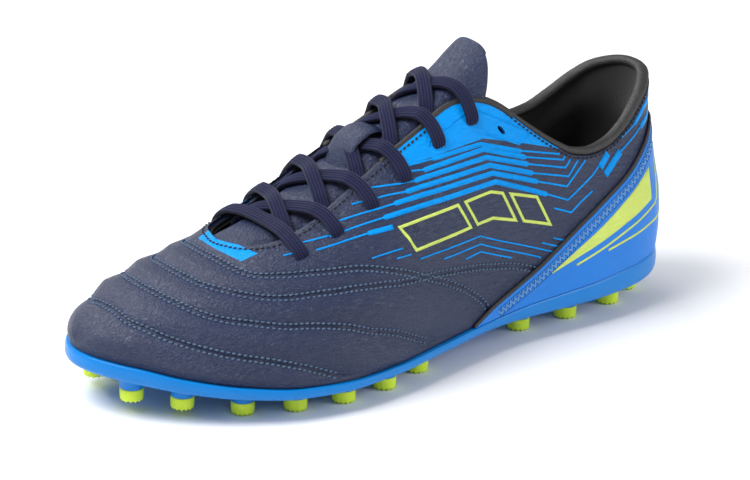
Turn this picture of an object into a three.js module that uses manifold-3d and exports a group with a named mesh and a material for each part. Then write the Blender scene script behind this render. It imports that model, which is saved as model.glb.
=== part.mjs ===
// A soccer shoe for the left foot, standing empty on its studs.
// Millimetres, +Z up, +X to the toe, +Y to the outer (lateral) side.
import * as THREE from 'three';
import Module from 'manifold-3d';

const wasm = await Module();
wasm.setup();

// Driving sizes of the whole shoe
const LENGTH = 282;
const BALL_WIDTH = 100;
const HEEL_WIDTH = 70;
const INSTEP_HEIGHT = 88;
const COLLAR_HEIGHT = 76;
const TOE_SPRING = 8.5;
const HEEL_LEAN = 5.5;

// Sole and studs
const STUD_HEIGHT = 8.7;
const BAND_HEIGHT = 8;
const SOLE_LEDGE = 1.4;
const STUD_TIP_WIDTH = 9.6;
const STUD_TIP_HEIGHT = 5.4;
const STUD_WAIST = 0.84;
const POST_FLARE = 1.9;
const POST_ROOT = 2.5;
const STUD_SIDES = 12;
const TIP_SWELL = 0.25;

// The sole plate's edge, from its top down: out past the ledge in mm, and share of the band's height
const PLATE_EDGE = [
  { out: 0.0, down: 0.00 },
  { out: 0.5, down: 0.45 },
  { out: -0.3, down: 0.82 },
  { out: -2.2, down: 1.00 },
];
const PLATE_PARTS = [0.3, 0.5, 0.7];
const WAIST = { at: 0.42, long: 0.07, deep: 2.2 };

// Studs past this share of the length hang above the floor by this much of the plate's lift there
const TOE_STUDS = { from: 0.87, held: 0.75, least: 0.1 };

// Upper, lining and overlays
const WALL = 2;
const CLEARANCE = 0.3;
const COUNTER_THICKNESS = 1.1;
const INSOLE_THICKNESS = 3.2;
const INSOLE_CLEARANCE = 0.9;
const TONGUE_THICKNESS = 3;
const TONGUE_WIDTH = 50;
const TONGUE_TIP_WIDTH = 42.5;
const TONGUE_RISE = 7;
const TONGUE_FLARE = 6;
const TONGUE_EDGE_DROP = 1.5;
const TONGUE_DROP = 0.85;
const ROLL_DIAMETER = 5.4;
const ROLL_FRONT_DIAMETER = 3.2;
const ROLL_SLACK = 0.7;
const ROLL_FRONT = 0.36;
const ROLL_THIN_FROM = 0.15;
const LACE_WIDTH = 6.2;
const LACE_THICKNESS = 2.6;
const LACE_LIFT = LACE_THICKNESS / 2 + CLEARANCE + 0.2;
const BAR_FLAT = 0.6;
const CROSSING_START = 0.28;
const CROSSING_OVER = { at: 0.4, long: 0.2, high: 0.8 * LACE_THICKNESS };
const THROAT_EDGE = 0.18;

// Between these shares of the length the tongue and the laces span the throat nearly flat
const DROP = { from: 0.365, full: 0.435, widest: 0.68, end: 0.80, fades: 0.07, inside: 3 };

// Where the insole and the tongue begin and end, as turns and as shares of the length
const INSOLE = { from: 0.045, long: 0.9, taper: 0.3 };
const TONGUE = { from: 0.348, spread: 0.374, free: 0.435, until: 0.800 };
const TONGUE_CORNER = { long: 0.018, least: 0.72 };
const TONGUE_NARROW = { from: 0.6, by: 0.9 };

// Where the heel's back starts along X, so that the shoe is centred on its length
const HEEL_BACK = -LENGTH / 2;

// How fine the faceted skins are
const STATIONS = 32;
const SKIN_STRIPS = 20;
const LINE_STEPS = 26;
const CORD_SIDES = 8;
const TONGUE_STATIONS = 18;
const TONGUE_STRIPS = 8;
const ROLL_STEPS = 44;
const LACE_STEPS = 9;

// Points that a smooth route is drawn through
const ROLL_POINTS = 20;
const CROSSING_POINTS = 8;

// Small steps that measure the slope of the skin and of the sole's outline, as turns
const SKIN_STEP = 0.002;
const OUTLINE_STEP = 0.004;

// A skin that is moved in stops just short of the heel's and the toe's very ends
const END_TRIM = 0.015;

// Corners closer than this are joined when solids are joined and cut
const FINENESS = 0.02;

// How far a cutting block reaches past the shoe
const BEYOND = 40;

// Sections of the last from the heel's back (0) to the toe (1).
// lateral, medial and crown are shares of the local width; rise is a share of the instep height;
// lift is a share of the toe spring; band is a share of the band height; side and top are the
// exponents that round the walls and the crown.
const SECTIONS = [
  { at: 0.00, lateral: 0.000, medial: 0.000, crown: 0.000, rise: 1.114, lift: 0.45, band: 1.44, side: 3.0, top: 1.7 },
  { at: 0.02, lateral: 0.271, medial: 0.257, crown: 0.000, rise: 1.118, lift: 0.43, band: 1.41, side: 3.0, top: 1.7 },
  { at: 0.06, lateral: 0.421, medial: 0.400, crown: 0.000, rise: 1.125, lift: 0.36, band: 1.41, side: 3.0, top: 1.7 },
  { at: 0.12, lateral: 0.493, medial: 0.457, crown: 0.000, rise: 1.142, lift: 0.27, band: 1.31, side: 2.9, top: 1.7 },
  { at: 0.20, lateral: 0.521, medial: 0.464, crown: 0.007, rise: 1.165, lift: 0.22, band: 1.11, side: 2.7, top: 1.8 },
  { at: 0.30, lateral: 0.521, medial: 0.457, crown: 0.014, rise: 1.176, lift: 0.22, band: 0.87, side: 2.4, top: 1.9 },
  { at: 0.40, lateral: 0.507, medial: 0.404, crown: 0.019, rise: 1.131, lift: 0.22, band: 0.62, side: 2.2, top: 2.0 },
  { at: 0.50, lateral: 0.505, medial: 0.374, crown: 0.016, rise: 0.994, lift: 0.15, band: 0.56, side: 2.1, top: 2.0 },
  { at: 0.60, lateral: 0.535, medial: 0.400, crown: 0.005, rise: 0.811, lift: 0.06, band: 0.55, side: 2.1, top: 2.0 },
  { at: 0.68, lateral: 0.560, medial: 0.440, crown: -0.01, rise: 0.656, lift: 0.00, band: 0.58, side: 2.1, top: 2.0 },
  { at: 0.76, lateral: 0.535, medial: 0.455, crown: -0.04, rise: 0.528, lift: 0.04, band: 0.62, side: 2.2, top: 2.1 },
  { at: 0.84, lateral: 0.445, medial: 0.435, crown: -0.07, rise: 0.413, lift: 0.21, band: 0.71, side: 2.3, top: 2.2 },
  { at: 0.91, lateral: 0.315, medial: 0.370, crown: -0.08, rise: 0.300, lift: 0.50, band: 0.83, side: 2.4, top: 2.3 },
  { at: 0.96, lateral: 0.180, medial: 0.285, crown: -0.08, rise: 0.182, lift: 0.80, band: 0.94, side: 2.4, top: 2.3 },
  { at: 0.99, lateral: 0.050, medial: 0.170, crown: -0.075, rise: 0.085, lift: 0.95, band: 0.94, side: 2.4, top: 2.3 },
  { at: 1.00, lateral: -0.07, medial: 0.070, crown: -0.07, rise: 0.000, lift: 1.00, band: 0.94, side: 2.4, top: 2.3 },
];

// How far the heel's back lies forward at a share of the collar height, as shares of the heel lean.
const HEEL_CURVE = [
  { at: 0.00, lean: 0.27 },
  { at: 0.15, lean: 0.00 },
  { at: 0.30, lean: 0.09 },
  { at: 0.50, lean: 0.64 },
  { at: 0.70, lean: 1.00 },
  { at: 0.90, lean: 0.82 },
  { at: 1.00, lean: 0.73 },
];

// The collar's top line, as shares of the collar height above the feather line at the heel.
const COLLAR_LINE = [
  { at: 0.000, height: 1.00 },
  { at: 0.030, height: 0.97 },
  { at: 0.065, height: 0.90 },
  { at: 0.105, height: 0.80 },
  { at: 0.147, height: 0.73 },
  { at: 0.185, height: 0.71 },
  { at: 0.215, height: 0.725 },
  { at: 0.250, height: 0.79 },
  { at: 0.282, height: 0.87 },
  { at: 0.310, height: 0.95 },
  { at: 0.339, height: 1.04 },
  { at: 0.365, height: 1.09 },
  { at: 0.400, height: 1.12 },
  { at: 0.430, height: 1.13 },
];

// Half of the throat's width on each side of the crown, as shares of the ball width.
const THROAT = [
  { at: 0.340, lateral: 0.190, medial: 0.190 },
  { at: 0.400, lateral: 0.165, medial: 0.165 },
  { at: 0.500, lateral: 0.185, medial: 0.185 },
  { at: 0.600, lateral: 0.205, medial: 0.205 },
  { at: 0.680, lateral: 0.215, medial: 0.215 },
  { at: 0.720, lateral: 0.205, medial: 0.195 },
  { at: 0.745, lateral: 0.170, medial: 0.160 },
  { at: 0.760, lateral: 0.120, medial: 0.110 },
  { at: 0.768, lateral: 0.060, medial: 0.050 },
  { at: 0.771, lateral: 0.020, medial: 0.015 },
];

// The upper edge of the heel overlay from its front foot to the heel's back,
// as shares of the collar height above the feather line at the heel.
const COUNTER_LINE = [
  { at: 0.000, height: 0.73 },
  { at: 0.030, height: 0.71 },
  { at: 0.060, height: 0.63 },
  { at: 0.111, height: 0.50 },
  { at: 0.173, height: 0.38 },
  { at: 0.219, height: 0.28 },
  { at: 0.261, height: 0.18 },
  { at: 0.303, height: 0.085 },
  { at: 0.346, height: 0.01 },
  { at: 0.387, height: -0.05 },
  { at: 0.429, height: -0.12 },
];

// Studs along each edge, from the heel: share of the length and distance in from the feather edge.
const LATERAL_STUDS = [
  { at: 0.090, inset: 14.5 },
  { at: 0.197, inset: 14.5 },
  { at: 0.288, inset: 14.5 },
  { at: 0.505, inset: 11.5 },
  { at: 0.586, inset: 10.0 },
  { at: 0.668, inset: 10.5 },
  { at: 0.752, inset: 12.5 },
  { at: 0.836, inset: 13.0 },
  { at: 0.915, inset: 11.5 },
  { at: 0.972, inset: 10.0 },
];
const MEDIAL_STUDS = [
  { at: 0.090, inset: 12.5 },
  { at: 0.197, inset: 12.5 },
  { at: 0.288, inset: 12.5 },
  { at: 0.530, inset: 9.5 },
  { at: 0.610, inset: 9.5 },
  { at: 0.690, inset: 10.0 },
  { at: 0.768, inset: 10.5 },
  { at: 0.842, inset: 10.5 },
  { at: 0.905, inset: 10.0 },
  { at: 0.955, inset: 9.0 },
];
const REAR_STUD = { at: 0.046, across: 9.5 };
const CENTRE_STUDS = [0.640, 0.740];

// Eyelets down each side of the throat, by share of the length and of the ball width from the crown.
const EYELETS = [
  { at: 0.708, out: 0.315 },
  { at: 0.650, out: 0.315 },
  { at: 0.590, out: 0.305 },
  { at: 0.529, out: 0.285 },
  { at: 0.460, out: 0.245 },
  { at: 0.395, out: 0.225 },
];

// A smooth line through the rows of a table, which never overshoots them.
function smoothColumn(rows, column, key = (row) => row.at) {
  const x = rows.map(key);
  const y = rows.map((row) => row[column]);
  const last = x.length - 1;
  const step = x.slice(1).map((value, i) => value - x[i]);
  const slope = step.map((value, i) => (y[i + 1] - y[i]) / value);
  const tangent = y.map(() => 0);
  for (let i = 1; i < last; i += 1) {
    if (slope[i - 1] * slope[i] > 0) {
      const before = 2 * step[i] + step[i - 1];
      const after = step[i] + 2 * step[i - 1];
      tangent[i] = (before + after) / (before / slope[i - 1] + after / slope[i]);
    }
  }
  tangent[0] = endTangent(step[0], step[1], slope[0], slope[1]);
  tangent[last] = endTangent(step[last - 1], step[last - 2], slope[last - 1], slope[last - 2]);
  return (at) => {
    const t = Math.min(Math.max(at, x[0]), x[last]);
    let i = 0;
    while (i < last - 1 && t > x[i + 1]) i += 1;
    const h = step[i];
    const q = (t - x[i]) / h;
    const rise = q * q * (3 - 2 * q);
    return y[i] * (1 - rise) + y[i + 1] * rise
      + h * q * (1 - q) * ((1 - q) * tangent[i] - q * tangent[i + 1]);
  };
}

function endTangent(nearStep, farStep, nearSlope, farSlope) {
  const guess = ((2 * nearStep + farStep) * nearSlope - nearStep * farSlope) / (nearStep + farStep);
  if (guess * nearSlope <= 0) return 0;
  if (nearSlope * farSlope < 0 && Math.abs(guess) > 3 * Math.abs(nearSlope)) return 3 * nearSlope;
  return guess;
}

// The last is read by a turn, 0 at the heel and 1 at the toe, which bunches stations at both ends.
const turnOf = (share) => Math.acos(1 - 2 * share) / Math.PI;
const shareOf = (turn) => (1 - Math.cos(Math.PI * turn)) / 2;
const byTurn = (column) => smoothColumn(SECTIONS, column, (row) => turnOf(row.at));
const column = {
  lateral: byTurn('lateral'),
  medial: byTurn('medial'),
  crown: byTurn('crown'),
  rise: byTurn('rise'),
  lift: byTurn('lift'),
  band: byTurn('band'),
  side: byTurn('side'),
  top: byTurn('top'),
};
const heelLean = smoothColumn(HEEL_CURVE, 'lean');
const collarShare = smoothColumn(COLLAR_LINE, 'height');
const counterShare = smoothColumn(COUNTER_LINE, 'height');
const throatLateral = smoothColumn(THROAT, 'lateral');
const throatMedial = smoothColumn(THROAT, 'medial');

// The width that the shares at a station follow: the heel's, then the ball's.
const WIDENS = { from: 0.3, long: 0.3 };
const within = (value) => Math.min(Math.max(value, 0), 1);
function localWidth(share) {
  const t = within((share - WIDENS.from) / WIDENS.long);
  return HEEL_WIDTH + (BALL_WIDTH - HEEL_WIDTH) * t * t * (3 - 2 * t);
}

// One station of the last, in millimetres.
function station(turn) {
  const share = shareOf(turn);
  const width = localWidth(share);
  const under = STUD_HEIGHT + TOE_SPRING * column.lift(turn);
  const feather = under + BAND_HEIGHT * column.band(turn);
  return {
    share,
    lateral: width * column.lateral(turn),
    medial: -width * column.medial(turn),
    crown: width * column.crown(turn),
    under,
    feather,
    ridge: feather + INSTEP_HEIGHT * column.rise(turn),
    side: column.side(turn),
    top: column.top(turn),
  };
}
const heelFeather = station(0).feather;
const collarZ = (share) => heelFeather + COLLAR_HEIGHT * collarShare(share);
const counterZ = (share) => heelFeather + COLLAR_HEIGHT * counterShare(share);

// How far a height moves a point forward near the heel.
function leanAt(share, z) {
  const height = (z - heelFeather) / COLLAR_HEIGHT;
  return HEEL_LEAN * heelLean(height) * (1 - share) ** 6;
}
const alongX = (share, z) => HEEL_BACK + share * LENGTH + leanAt(share, z);

// A point on the last: side is +1 at the outer feather edge, 0 on the crown, -1 at the inner one.
function skin(turn, side) {
  const at = station(turn);
  const angle = (1 - Math.abs(side)) * Math.PI / 2;
  const out = Math.max(Math.cos(angle), 0) ** (2 / at.side);
  const up = Math.sin(angle) ** (2 / at.top);
  const edge = side >= 0 ? at.lateral : at.medial;
  const y = at.crown + (edge - at.crown) * out;
  const z = at.feather + (at.ridge - at.feather) * up;
  return new THREE.Vector3(alongX(at.share, z), y, z);
}

// The same point moved out (or in, when negative) along the skin's normal.
function offsetSkin(turn, side, out) {
  const step = SKIN_STEP;
  const t = Math.min(Math.max(turn, step), 1 - step);
  const along = skin(Math.min(t + step, 1), side).sub(skin(Math.max(t - step, 0), side));
  const across = skin(t, Math.min(side + step, 1)).sub(skin(t, Math.max(side - step, -1)));
  const normal = along.cross(across).normalize();
  const point = skin(turn, side).addScaledVector(normal, out);
  if (turn === 0) point.y = station(0).crown;
  return point;
}

// The side value of the point at a given height at a station.
function sideAtHeight(turn, z) {
  const at = station(turn);
  const up = within((z - at.feather) / (at.ridge - at.feather));
  return 1 - 2 * Math.asin(up ** (at.top / 2)) / Math.PI;
}

// The side value of the point at a given distance from the crown line, on the outer side if positive.
function sideAtWidth(turn, out) {
  const at = station(turn);
  const edge = out >= 0 ? at.lateral : at.medial;
  const share = Math.min(Math.abs(out) / Math.abs(edge - at.crown), 1);
  return Math.sign(out) * (1 - 2 * Math.acos(share ** (at.side / 2)) / Math.PI);
}

// A closed triangle mesh with its shared corners merged and its flat-out triangles dropped.
class Shell {
  constructor() {
    this.index = new Map();
    this.corners = [];
    this.triangles = [];
  }

  corner(point) {
    const name = [point.x, point.y, point.z].map((value) => Math.round(value * 1e4)).join(',');
    if (!this.index.has(name)) {
      this.index.set(name, this.corners.length);
      this.corners.push(point);
    }
    return this.index.get(name);
  }

  triangle(a, b, c) {
    const [i, j, k] = [a, b, c].map((point) => this.corner(point));
    if (i !== j && j !== k && k !== i) this.triangles.push([i, j, k]);
  }

  quad(a, b, c, d) {
    this.triangle(a, b, c);
    this.triangle(a, c, d);
  }

  toSolid() {
    const solid = new wasm.Manifold(new wasm.Mesh({
      numProp: 3,
      vertProperties: new Float32Array(this.corners.flatMap((point) => [point.x, point.y, point.z])),
      triVerts: new Uint32Array(this.triangles.flat()),
      tolerance: FINENESS,
    }));
    if (solid.volume() >= 0) return solid;
    this.triangles = this.triangles.map(([i, j, k]) => [i, k, j]);
    return this.toSolid();
  }
}

// A solid through closed rings of points. Each end is zipped across from a ring's first and last
// points to its middle ones.
function loft(rings) {
  const shell = new Shell();
  const count = rings[0].length;
  for (let i = 0; i < rings.length - 1; i += 1) {
    for (let j = 0; j < count; j += 1) {
      const k = (j + 1) % count;
      shell.quad(rings[i][j], rings[i][k], rings[i + 1][k], rings[i + 1][j]);
    }
  }
  const first = rings[0];
  const end = rings[rings.length - 1];
  for (let j = 0; j < (count - 1) / 2; j += 1) {
    const far = count - 1 - j;
    shell.quad(first[far], first[far - 1], first[j + 1], first[j]);
    shell.quad(end[j], end[j + 1], end[far - 1], end[far]);
  }
  return shell.toSolid();
}

// A cutting block that follows a row of stations, each with its x and the corners of a box across it.
function block(rows) {
  return loft(rows.map(({ x, outer, inner, low, high }) => [
    new THREE.Vector3(x, outer, low),
    new THREE.Vector3(x, outer, high),
    new THREE.Vector3(x, inner, high),
    new THREE.Vector3(x, inner, low),
  ]));
}

const range = (count) => Array.from({ length: count + 1 }, (_, i) => i / count);

// The whole last as a solid, its skin moved out by a distance and its floor moved down by another.
function lastSolid(out, drop) {
  const trim = out < 0 ? END_TRIM : 0;
  const rings = range(STATIONS).map((part) => {
    const turn = trim + part * (1 - 2 * trim);
    const ring = range(SKIN_STRIPS).map((step) => offsetSkin(turn, 1 - 2 * step, out));
    if (drop === 0) return ring;
    const first = ring[0].clone();
    const end = ring[SKIN_STRIPS].clone();
    first.z -= drop;
    end.z -= drop;
    return [first, ...ring, end];
  });
  return loft(rings);
}

// A block right across the shoe, above or below a line that runs along its side from the heel.
function besideLine(height, until, above) {
  const far = above ? heelFeather + 2 * COLLAR_HEIGHT : -BEYOND;
  const rows = range(LINE_STEPS).map((part) => {
    const share = part * until;
    const z = height(share);
    return { x: alongX(share, z), z };
  });
  rows.unshift({ x: HEEL_BACK - BEYOND, z: rows[0].z });
  return block(rows.map(({ x, z }) => ({
    x, outer: LENGTH, inner: -LENGTH, low: Math.min(z, far), high: Math.max(z, far),
  })));
}

// A block over the throat, from the collar's front to its rounded foot.
function throatBlock() {
  const until = THROAT[THROAT.length - 1].at;
  const from = THROAT[0].at;
  return block(range(LINE_STEPS).map((part) => {
    const share = from + (until - from) * Math.sin(part * Math.PI / 2);
    const { crown } = station(turnOf(share));
    return {
      x: HEEL_BACK + share * LENGTH,
      outer: crown + BALL_WIDTH * throatLateral(share),
      inner: crown - BALL_WIDTH * throatMedial(share),
      low: heelFeather,
      high: heelFeather + 2 * COLLAR_HEIGHT,
    };
  }));
}

// Upper: one hollow skin, open at the collar, the throat and underneath.
function makeUpper() {
  const hollow = lastSolid(-WALL, BAND_HEIGHT);
  const until = COLLAR_LINE[COLLAR_LINE.length - 1].at;
  const seat = (share) => collarZ(share) - rollDiameter(share) - ROLL_SLACK;
  const open = besideLine(seat, until, true);
  return lastSolid(0, 0).subtract(hollow).subtract(open).subtract(throatBlock());
}

// Heel overlay: a thin band between two larger lasts, from its slanting edge down to the sole.
function makeCounter() {
  const band = lastSolid(CLEARANCE + COUNTER_THICKNESS, 0).subtract(lastSolid(CLEARANCE, BAND_HEIGHT));
  const until = COUNTER_LINE[COUNTER_LINE.length - 1].at;
  const above = besideLine(counterZ, until, true);
  const front = alongX(until, heelFeather) - CLEARANCE;
  const ahead = block([front, LENGTH].map((x) => ({
    x, outer: LENGTH, inner: -LENGTH, low: -BEYOND, high: 2 * LENGTH,
  })));
  const below = besideLine((share) => station(turnOf(share)).feather + CLEARANCE, until, false);
  return band.subtract(above).subtract(ahead).subtract(below);
}

// A point on the sole's outline at a station, moved out from the feather edge.
function outlinePoint(turn, side, out, z) {
  const edge = skin(turn, side);
  if (turn === 0) return new THREE.Vector3(edge.x - out, edge.y, z);
  if (turn === 1) return new THREE.Vector3(edge.x + out, edge.y, z);
  const before = skin(Math.max(turn - OUTLINE_STEP, 0), side);
  const after = skin(Math.min(turn + OUTLINE_STEP, 1), side);
  const normal = new THREE.Vector3(after.y - before.y, before.x - after.x, 0).normalize();
  normal.multiplyScalar(-side * out);
  return new THREE.Vector3(edge.x + normal.x, edge.y + normal.y, z);
}

// Sole plate: a band around the foot with a rounded lower edge and a hollowed waist underneath.
function makePlate() {
  const rings = range(STATIONS).map((turn) => {
    const at = station(turn);
    const top = at.feather - CLEARANCE;
    const height = top - at.under;
    const waist = WAIST.deep * Math.exp(-(((at.share - WAIST.at) / WAIST.long) ** 2));
    const edge = (side) => PLATE_EDGE.map(({ out, down }) => (
      outlinePoint(turn, side, SOLE_LEDGE + out, top - down * height)
    ));
    const outer = edge(1);
    const inner = edge(-1).reverse();
    const across = PLATE_PARTS.map((part) => {
      const point = outer[outer.length - 1].clone().lerp(inner[0], part);
      point.z += waist * Math.sin(part * Math.PI);
      return point;
    });
    return [...outer, ...across, ...inner];
  });
  return loft(rings);
}

// Where every stud stands, with the height of the plate above it.
function studPlaces() {
  const onEdge = (rows, side) => rows.map(({ at, inset }) => {
    const place = outlinePoint(turnOf(at), side, -inset, 0);
    return { x: place.x, y: place.y, share: at };
  });
  const inside = (share, across) => {
    const at = station(turnOf(share));
    return { x: HEEL_BACK + share * LENGTH, y: at.crown + across, share };
  };
  return [
    ...onEdge(LATERAL_STUDS, 1),
    ...onEdge(MEDIAL_STUDS, -1),
    inside(REAR_STUD.at, REAR_STUD.across),
    inside(REAR_STUD.at, -REAR_STUD.across),
    ...CENTRE_STUDS.map((share) => inside(share, 0)),
  ].map((place) => {
    const at = station(turnOf(place.share));
    return { ...place, under: at.under, foot: at.under - STUD_HEIGHT - TOE_SPRING * studLift(place.share) };
  });
}

// A stud under the sprung toe hangs above the floor, and every other one stands on it.
function studLift(share) {
  const lift = column.lift(turnOf(share));
  return share > TOE_STUDS.from ? lift - TOE_STUDS.held * (lift - TOE_STUDS.least) : lift;
}

// A turned solid from [radius, height] pairs on the axis.
function turned(profile, place) {
  const rings = profile.map(([radius, z]) => range(STUD_SIDES - 1).map((part) => {
    const angle = part * 2 * Math.PI * (STUD_SIDES - 1) / STUD_SIDES;
    return new THREE.Vector3(place.x + radius * Math.cos(angle), place.y + radius * Math.sin(angle), z);
  }));
  return loft(rings);
}

function makeTip(place) {
  const wide = STUD_TIP_WIDTH / 2;
  const top = place.foot + STUD_TIP_HEIGHT;
  return turned([
    [wide * STUD_WAIST, place.foot],
    [wide, place.foot + STUD_TIP_HEIGHT * TIP_SWELL],
    [wide, top],
  ], place);
}

function makePost(place) {
  const wide = STUD_TIP_WIDTH / 2;
  const from = place.foot + STUD_TIP_HEIGHT + CLEARANCE;
  return turned([
    [wide, from],
    [wide + POST_FLARE, place.under + POST_ROOT / 2],
    [wide + POST_FLARE, place.under + POST_ROOT],
  ], place);
}

// Insole: a slab inside the upper's foot.
function makeInsole() {
  const inset = -(WALL + INSOLE_CLEARANCE);
  const turns = range(STATIONS).map((part) => INSOLE.from + part * INSOLE.long);
  const rings = turns.map((turn) => {
    const at = station(turn);
    const low = at.feather;
    const high = low + INSOLE_THICKNESS;
    return [
      outlinePoint(turn, 1, inset, low),
      outlinePoint(turn, 1, inset - INSOLE.taper, high),
      outlinePoint(turn, -1, inset - INSOLE.taper, high),
      outlinePoint(turn, -1, inset, low),
    ];
  });
  return loft(rings);
}

// How far below the last's crown a flat span across the throat lies, at a distance from the crown line.
function throatDrop(share, out) {
  const at = station(turnOf(share));
  const half = BALL_WIDTH * throatLateral(Math.min(share, DROP.widest)) - DROP.inside;
  const edge = skin(turnOf(share), sideAtWidth(turnOf(share), half)).z;
  const begun = within((share - DROP.from) / (DROP.full - DROP.from));
  const left = within((DROP.end - share) / DROP.fades);
  return (at.ridge - edge) * begun * left * within(1 - (out / half) ** 2);
}

// Tongue: a padded strip under the throat whose tip stands out of it as a flat tab.
function tongueHalf(share) {
  const slim = within((TONGUE.free - share) / (TONGUE.free - TONGUE.from));
  const corner = within((share - TONGUE.from) / TONGUE_CORNER.long);
  const round = Math.sqrt(1 - (1 - corner) ** 2);
  const half = (TONGUE_WIDTH + (TONGUE_TIP_WIDTH - TONGUE_WIDTH) * slim) / 2;
  const rounded = TONGUE_CORNER.least + (1 - TONGUE_CORNER.least) * round;
  const narrowed = 1 - TONGUE_NARROW.by * Math.max(share - TONGUE_NARROW.from, 0);
  return half * rounded * narrowed;
}
function tonguePoint(turn, part, depth) {
  const share = shareOf(turn);
  const edge = part * part;
  const out = tongueHalf(share) * part;
  const drop = TONGUE_EDGE_DROP * edge + TONGUE_DROP * throatDrop(share, out);
  const point = offsetSkin(turn, sideAtWidth(turn, out), -WALL - CLEARANCE - drop - depth);
  const free = within((TONGUE.free - share) / (TONGUE.free - TONGUE.from));
  const spread = within((TONGUE.spread - share) / (TONGUE.spread - TONGUE.from));
  point.z += TONGUE_RISE * free ** 1.5 * (1 - edge) + TONGUE_FLARE * spread * edge;
  return point;
}
function makeTongue() {
  const from = turnOf(TONGUE.from);
  const until = turnOf(TONGUE.until);
  return loft(range(TONGUE_STATIONS).map((along) => {
    const turn = from + along * (until - from);
    const parts = range(TONGUE_STRIPS).map((step) => 1 - 2 * step);
    const lower = parts.map((part) => tonguePoint(turn, part, TONGUE_THICKNESS));
    const upper = parts.map((part) => tonguePoint(turn, part, 0));
    return [...lower, ...upper.reverse()];
  }));
}

// A tube of a flattened round section along a smooth route; size gives its width and thickness.
function cordSolid(points, size, steps, up) {
  const curve = new THREE.CatmullRomCurve3(points);
  const rings = range(steps).map((part) => {
    const place = curve.getPoint(part);
    const tangent = curve.getTangent(part);
    const { wide, thick } = size(part);
    const upward = up(place);
    const normal = upward.clone().addScaledVector(tangent, -upward.dot(tangent)).normalize();
    const across = tangent.clone().cross(normal);
    return range(CORD_SIDES - 1).map((step) => {
      const angle = step * 2 * Math.PI * (CORD_SIDES - 1) / CORD_SIDES;
      return place.clone()
        .addScaledVector(across, wide / 2 * Math.cos(angle))
        .addScaledVector(normal, thick / 2 * Math.sin(angle));
    });
  });
  return loft(rings);
}

// Collar roll: the padded edge that runs from the throat round the heel to the throat again,
// thick at the heel and thin at the front.
function rollDiameter(share) {
  const part = within((share - ROLL_THIN_FROM) / (ROLL_FRONT - ROLL_THIN_FROM));
  return ROLL_DIAMETER + (ROLL_FRONT_DIAMETER - ROLL_DIAMETER) * part;
}
function makeRoll() {
  const turns = range(ROLL_POINTS).map((part) => part * turnOf(ROLL_FRONT));
  const at = (turn, sign) => {
    const share = shareOf(turn);
    const z = collarZ(share) - rollDiameter(share) / 2 + CLEARANCE;
    return offsetSkin(turn, sign * sideAtHeight(turn, z), -WALL / 2);
  };
  const outer = turns.slice(1).reverse().map((turn) => at(turn, 1));
  const inner = turns.map((turn) => at(turn, -1));
  const size = (part) => {
    const wide = rollDiameter(shareOf(Math.abs(2 * part - 1) * turnOf(ROLL_FRONT)));
    return { wide, thick: wide };
  };
  return cordSolid([...outer, ...inner], size, ROLL_STEPS, () => new THREE.Vector3(0, 0, 1));
}

// Laces: a bar at the foot of the throat, then crossings up to the top eyelets.
function lacePoint(share, out, height) {
  const turn = turnOf(share);
  const side = sideAtWidth(turn, out * BALL_WIDTH);
  return offsetSkin(turn, side, height - throatDrop(share, out * BALL_WIDTH));
}
const laceSize = () => ({ wide: LACE_WIDTH, thick: LACE_THICKNESS });
const strand = (points) => cordSolid(points, laceSize, LACE_STEPS, (place) => {
  const turn = turnOf((place.x - HEEL_BACK) / LENGTH);
  const side = sideAtWidth(turn, place.y - station(turn).crown);
  return offsetSkin(turn, side, 1).sub(skin(turn, side));
});
function laceBar() {
  const { at, out } = EYELETS[0];
  const raised = LACE_LIFT + LACE_THICKNESS + CLEARANCE;
  return strand([
    lacePoint(at, -out, LACE_LIFT),
    lacePoint(at, -out * BAR_FLAT, raised),
    lacePoint(at, 0, raised),
    lacePoint(at, out * BAR_FLAT, raised),
    lacePoint(at, out, LACE_LIFT),
  ]);
}
function laceCrossing(index) {
  const here = EYELETS[index];
  const below = EYELETS[index - 1];
  const from = below.at + (here.at - below.at) * CROSSING_START;
  const route = (sign, hump) => range(CROSSING_POINTS).map((part) => {
    const out = -THROAT_EDGE + (here.out + THROAT_EDGE) * part;
    const height = LACE_LIFT + hump * Math.exp(-(((part - CROSSING_OVER.at) / CROSSING_OVER.long) ** 2));
    return lacePoint(from + (here.at - from) * part, sign * out, height);
  });
  return strand(route(1, 0)).add(strand(route(-1, CROSSING_OVER.high)));
}

// Materials
const material = (color, roughness) => new THREE.MeshStandardMaterial({ color, roughness, metalness: 0 });
const NAVY_LEATHER = material(0x1d2440, 0.5);
const BLACK_LINING = material(0x15161a, 0.85);
const BLUE_OVERLAY = material(0x0d7fe0, 0.45);
const BLUE_PLATE = material(0x1284e8, 0.35);
const LIME_RUBBER = material(0xb6e02a, 0.5);
const NAVY_CORD = material(0x161c3a, 0.9);
const INSOLE_FOAM = material(0x202226, 0.9);

const shoe = new THREE.Group();
function addPiece(name, solid, finish) {
  const mesh = solid.getMesh();
  const geometry = new THREE.BufferGeometry();
  geometry.setAttribute('position', new THREE.BufferAttribute(mesh.vertProperties, 3));
  geometry.setIndex(new THREE.BufferAttribute(mesh.triVerts, 1));
  geometry.computeVertexNormals();
  const piece = new THREE.Mesh(geometry, finish);
  piece.name = name;
  shoe.add(piece);
}

const studs = studPlaces();
const posts = studs.map(makePost);
addPiece('outsole', posts.reduce((sum, post) => sum.add(post), makePlate()), BLUE_PLATE);
studs.forEach((place, index) => addPiece(`stud_tip_${index + 1}`, makeTip(place), LIME_RUBBER));
addPiece('upper', makeUpper(), NAVY_LEATHER);
addPiece('heel_counter', makeCounter(), BLUE_OVERLAY);
addPiece('insole', makeInsole(), INSOLE_FOAM);
addPiece('tongue', makeTongue(), NAVY_LEATHER);
addPiece('collar_roll', makeRoll(), BLACK_LINING);
addPiece('lace_bar', laceBar(), NAVY_CORD);
for (let index = 1; index < EYELETS.length; index += 1) {
  addPiece(`lace_crossing_${index}`, laceCrossing(index), NAVY_CORD);
}

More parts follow.
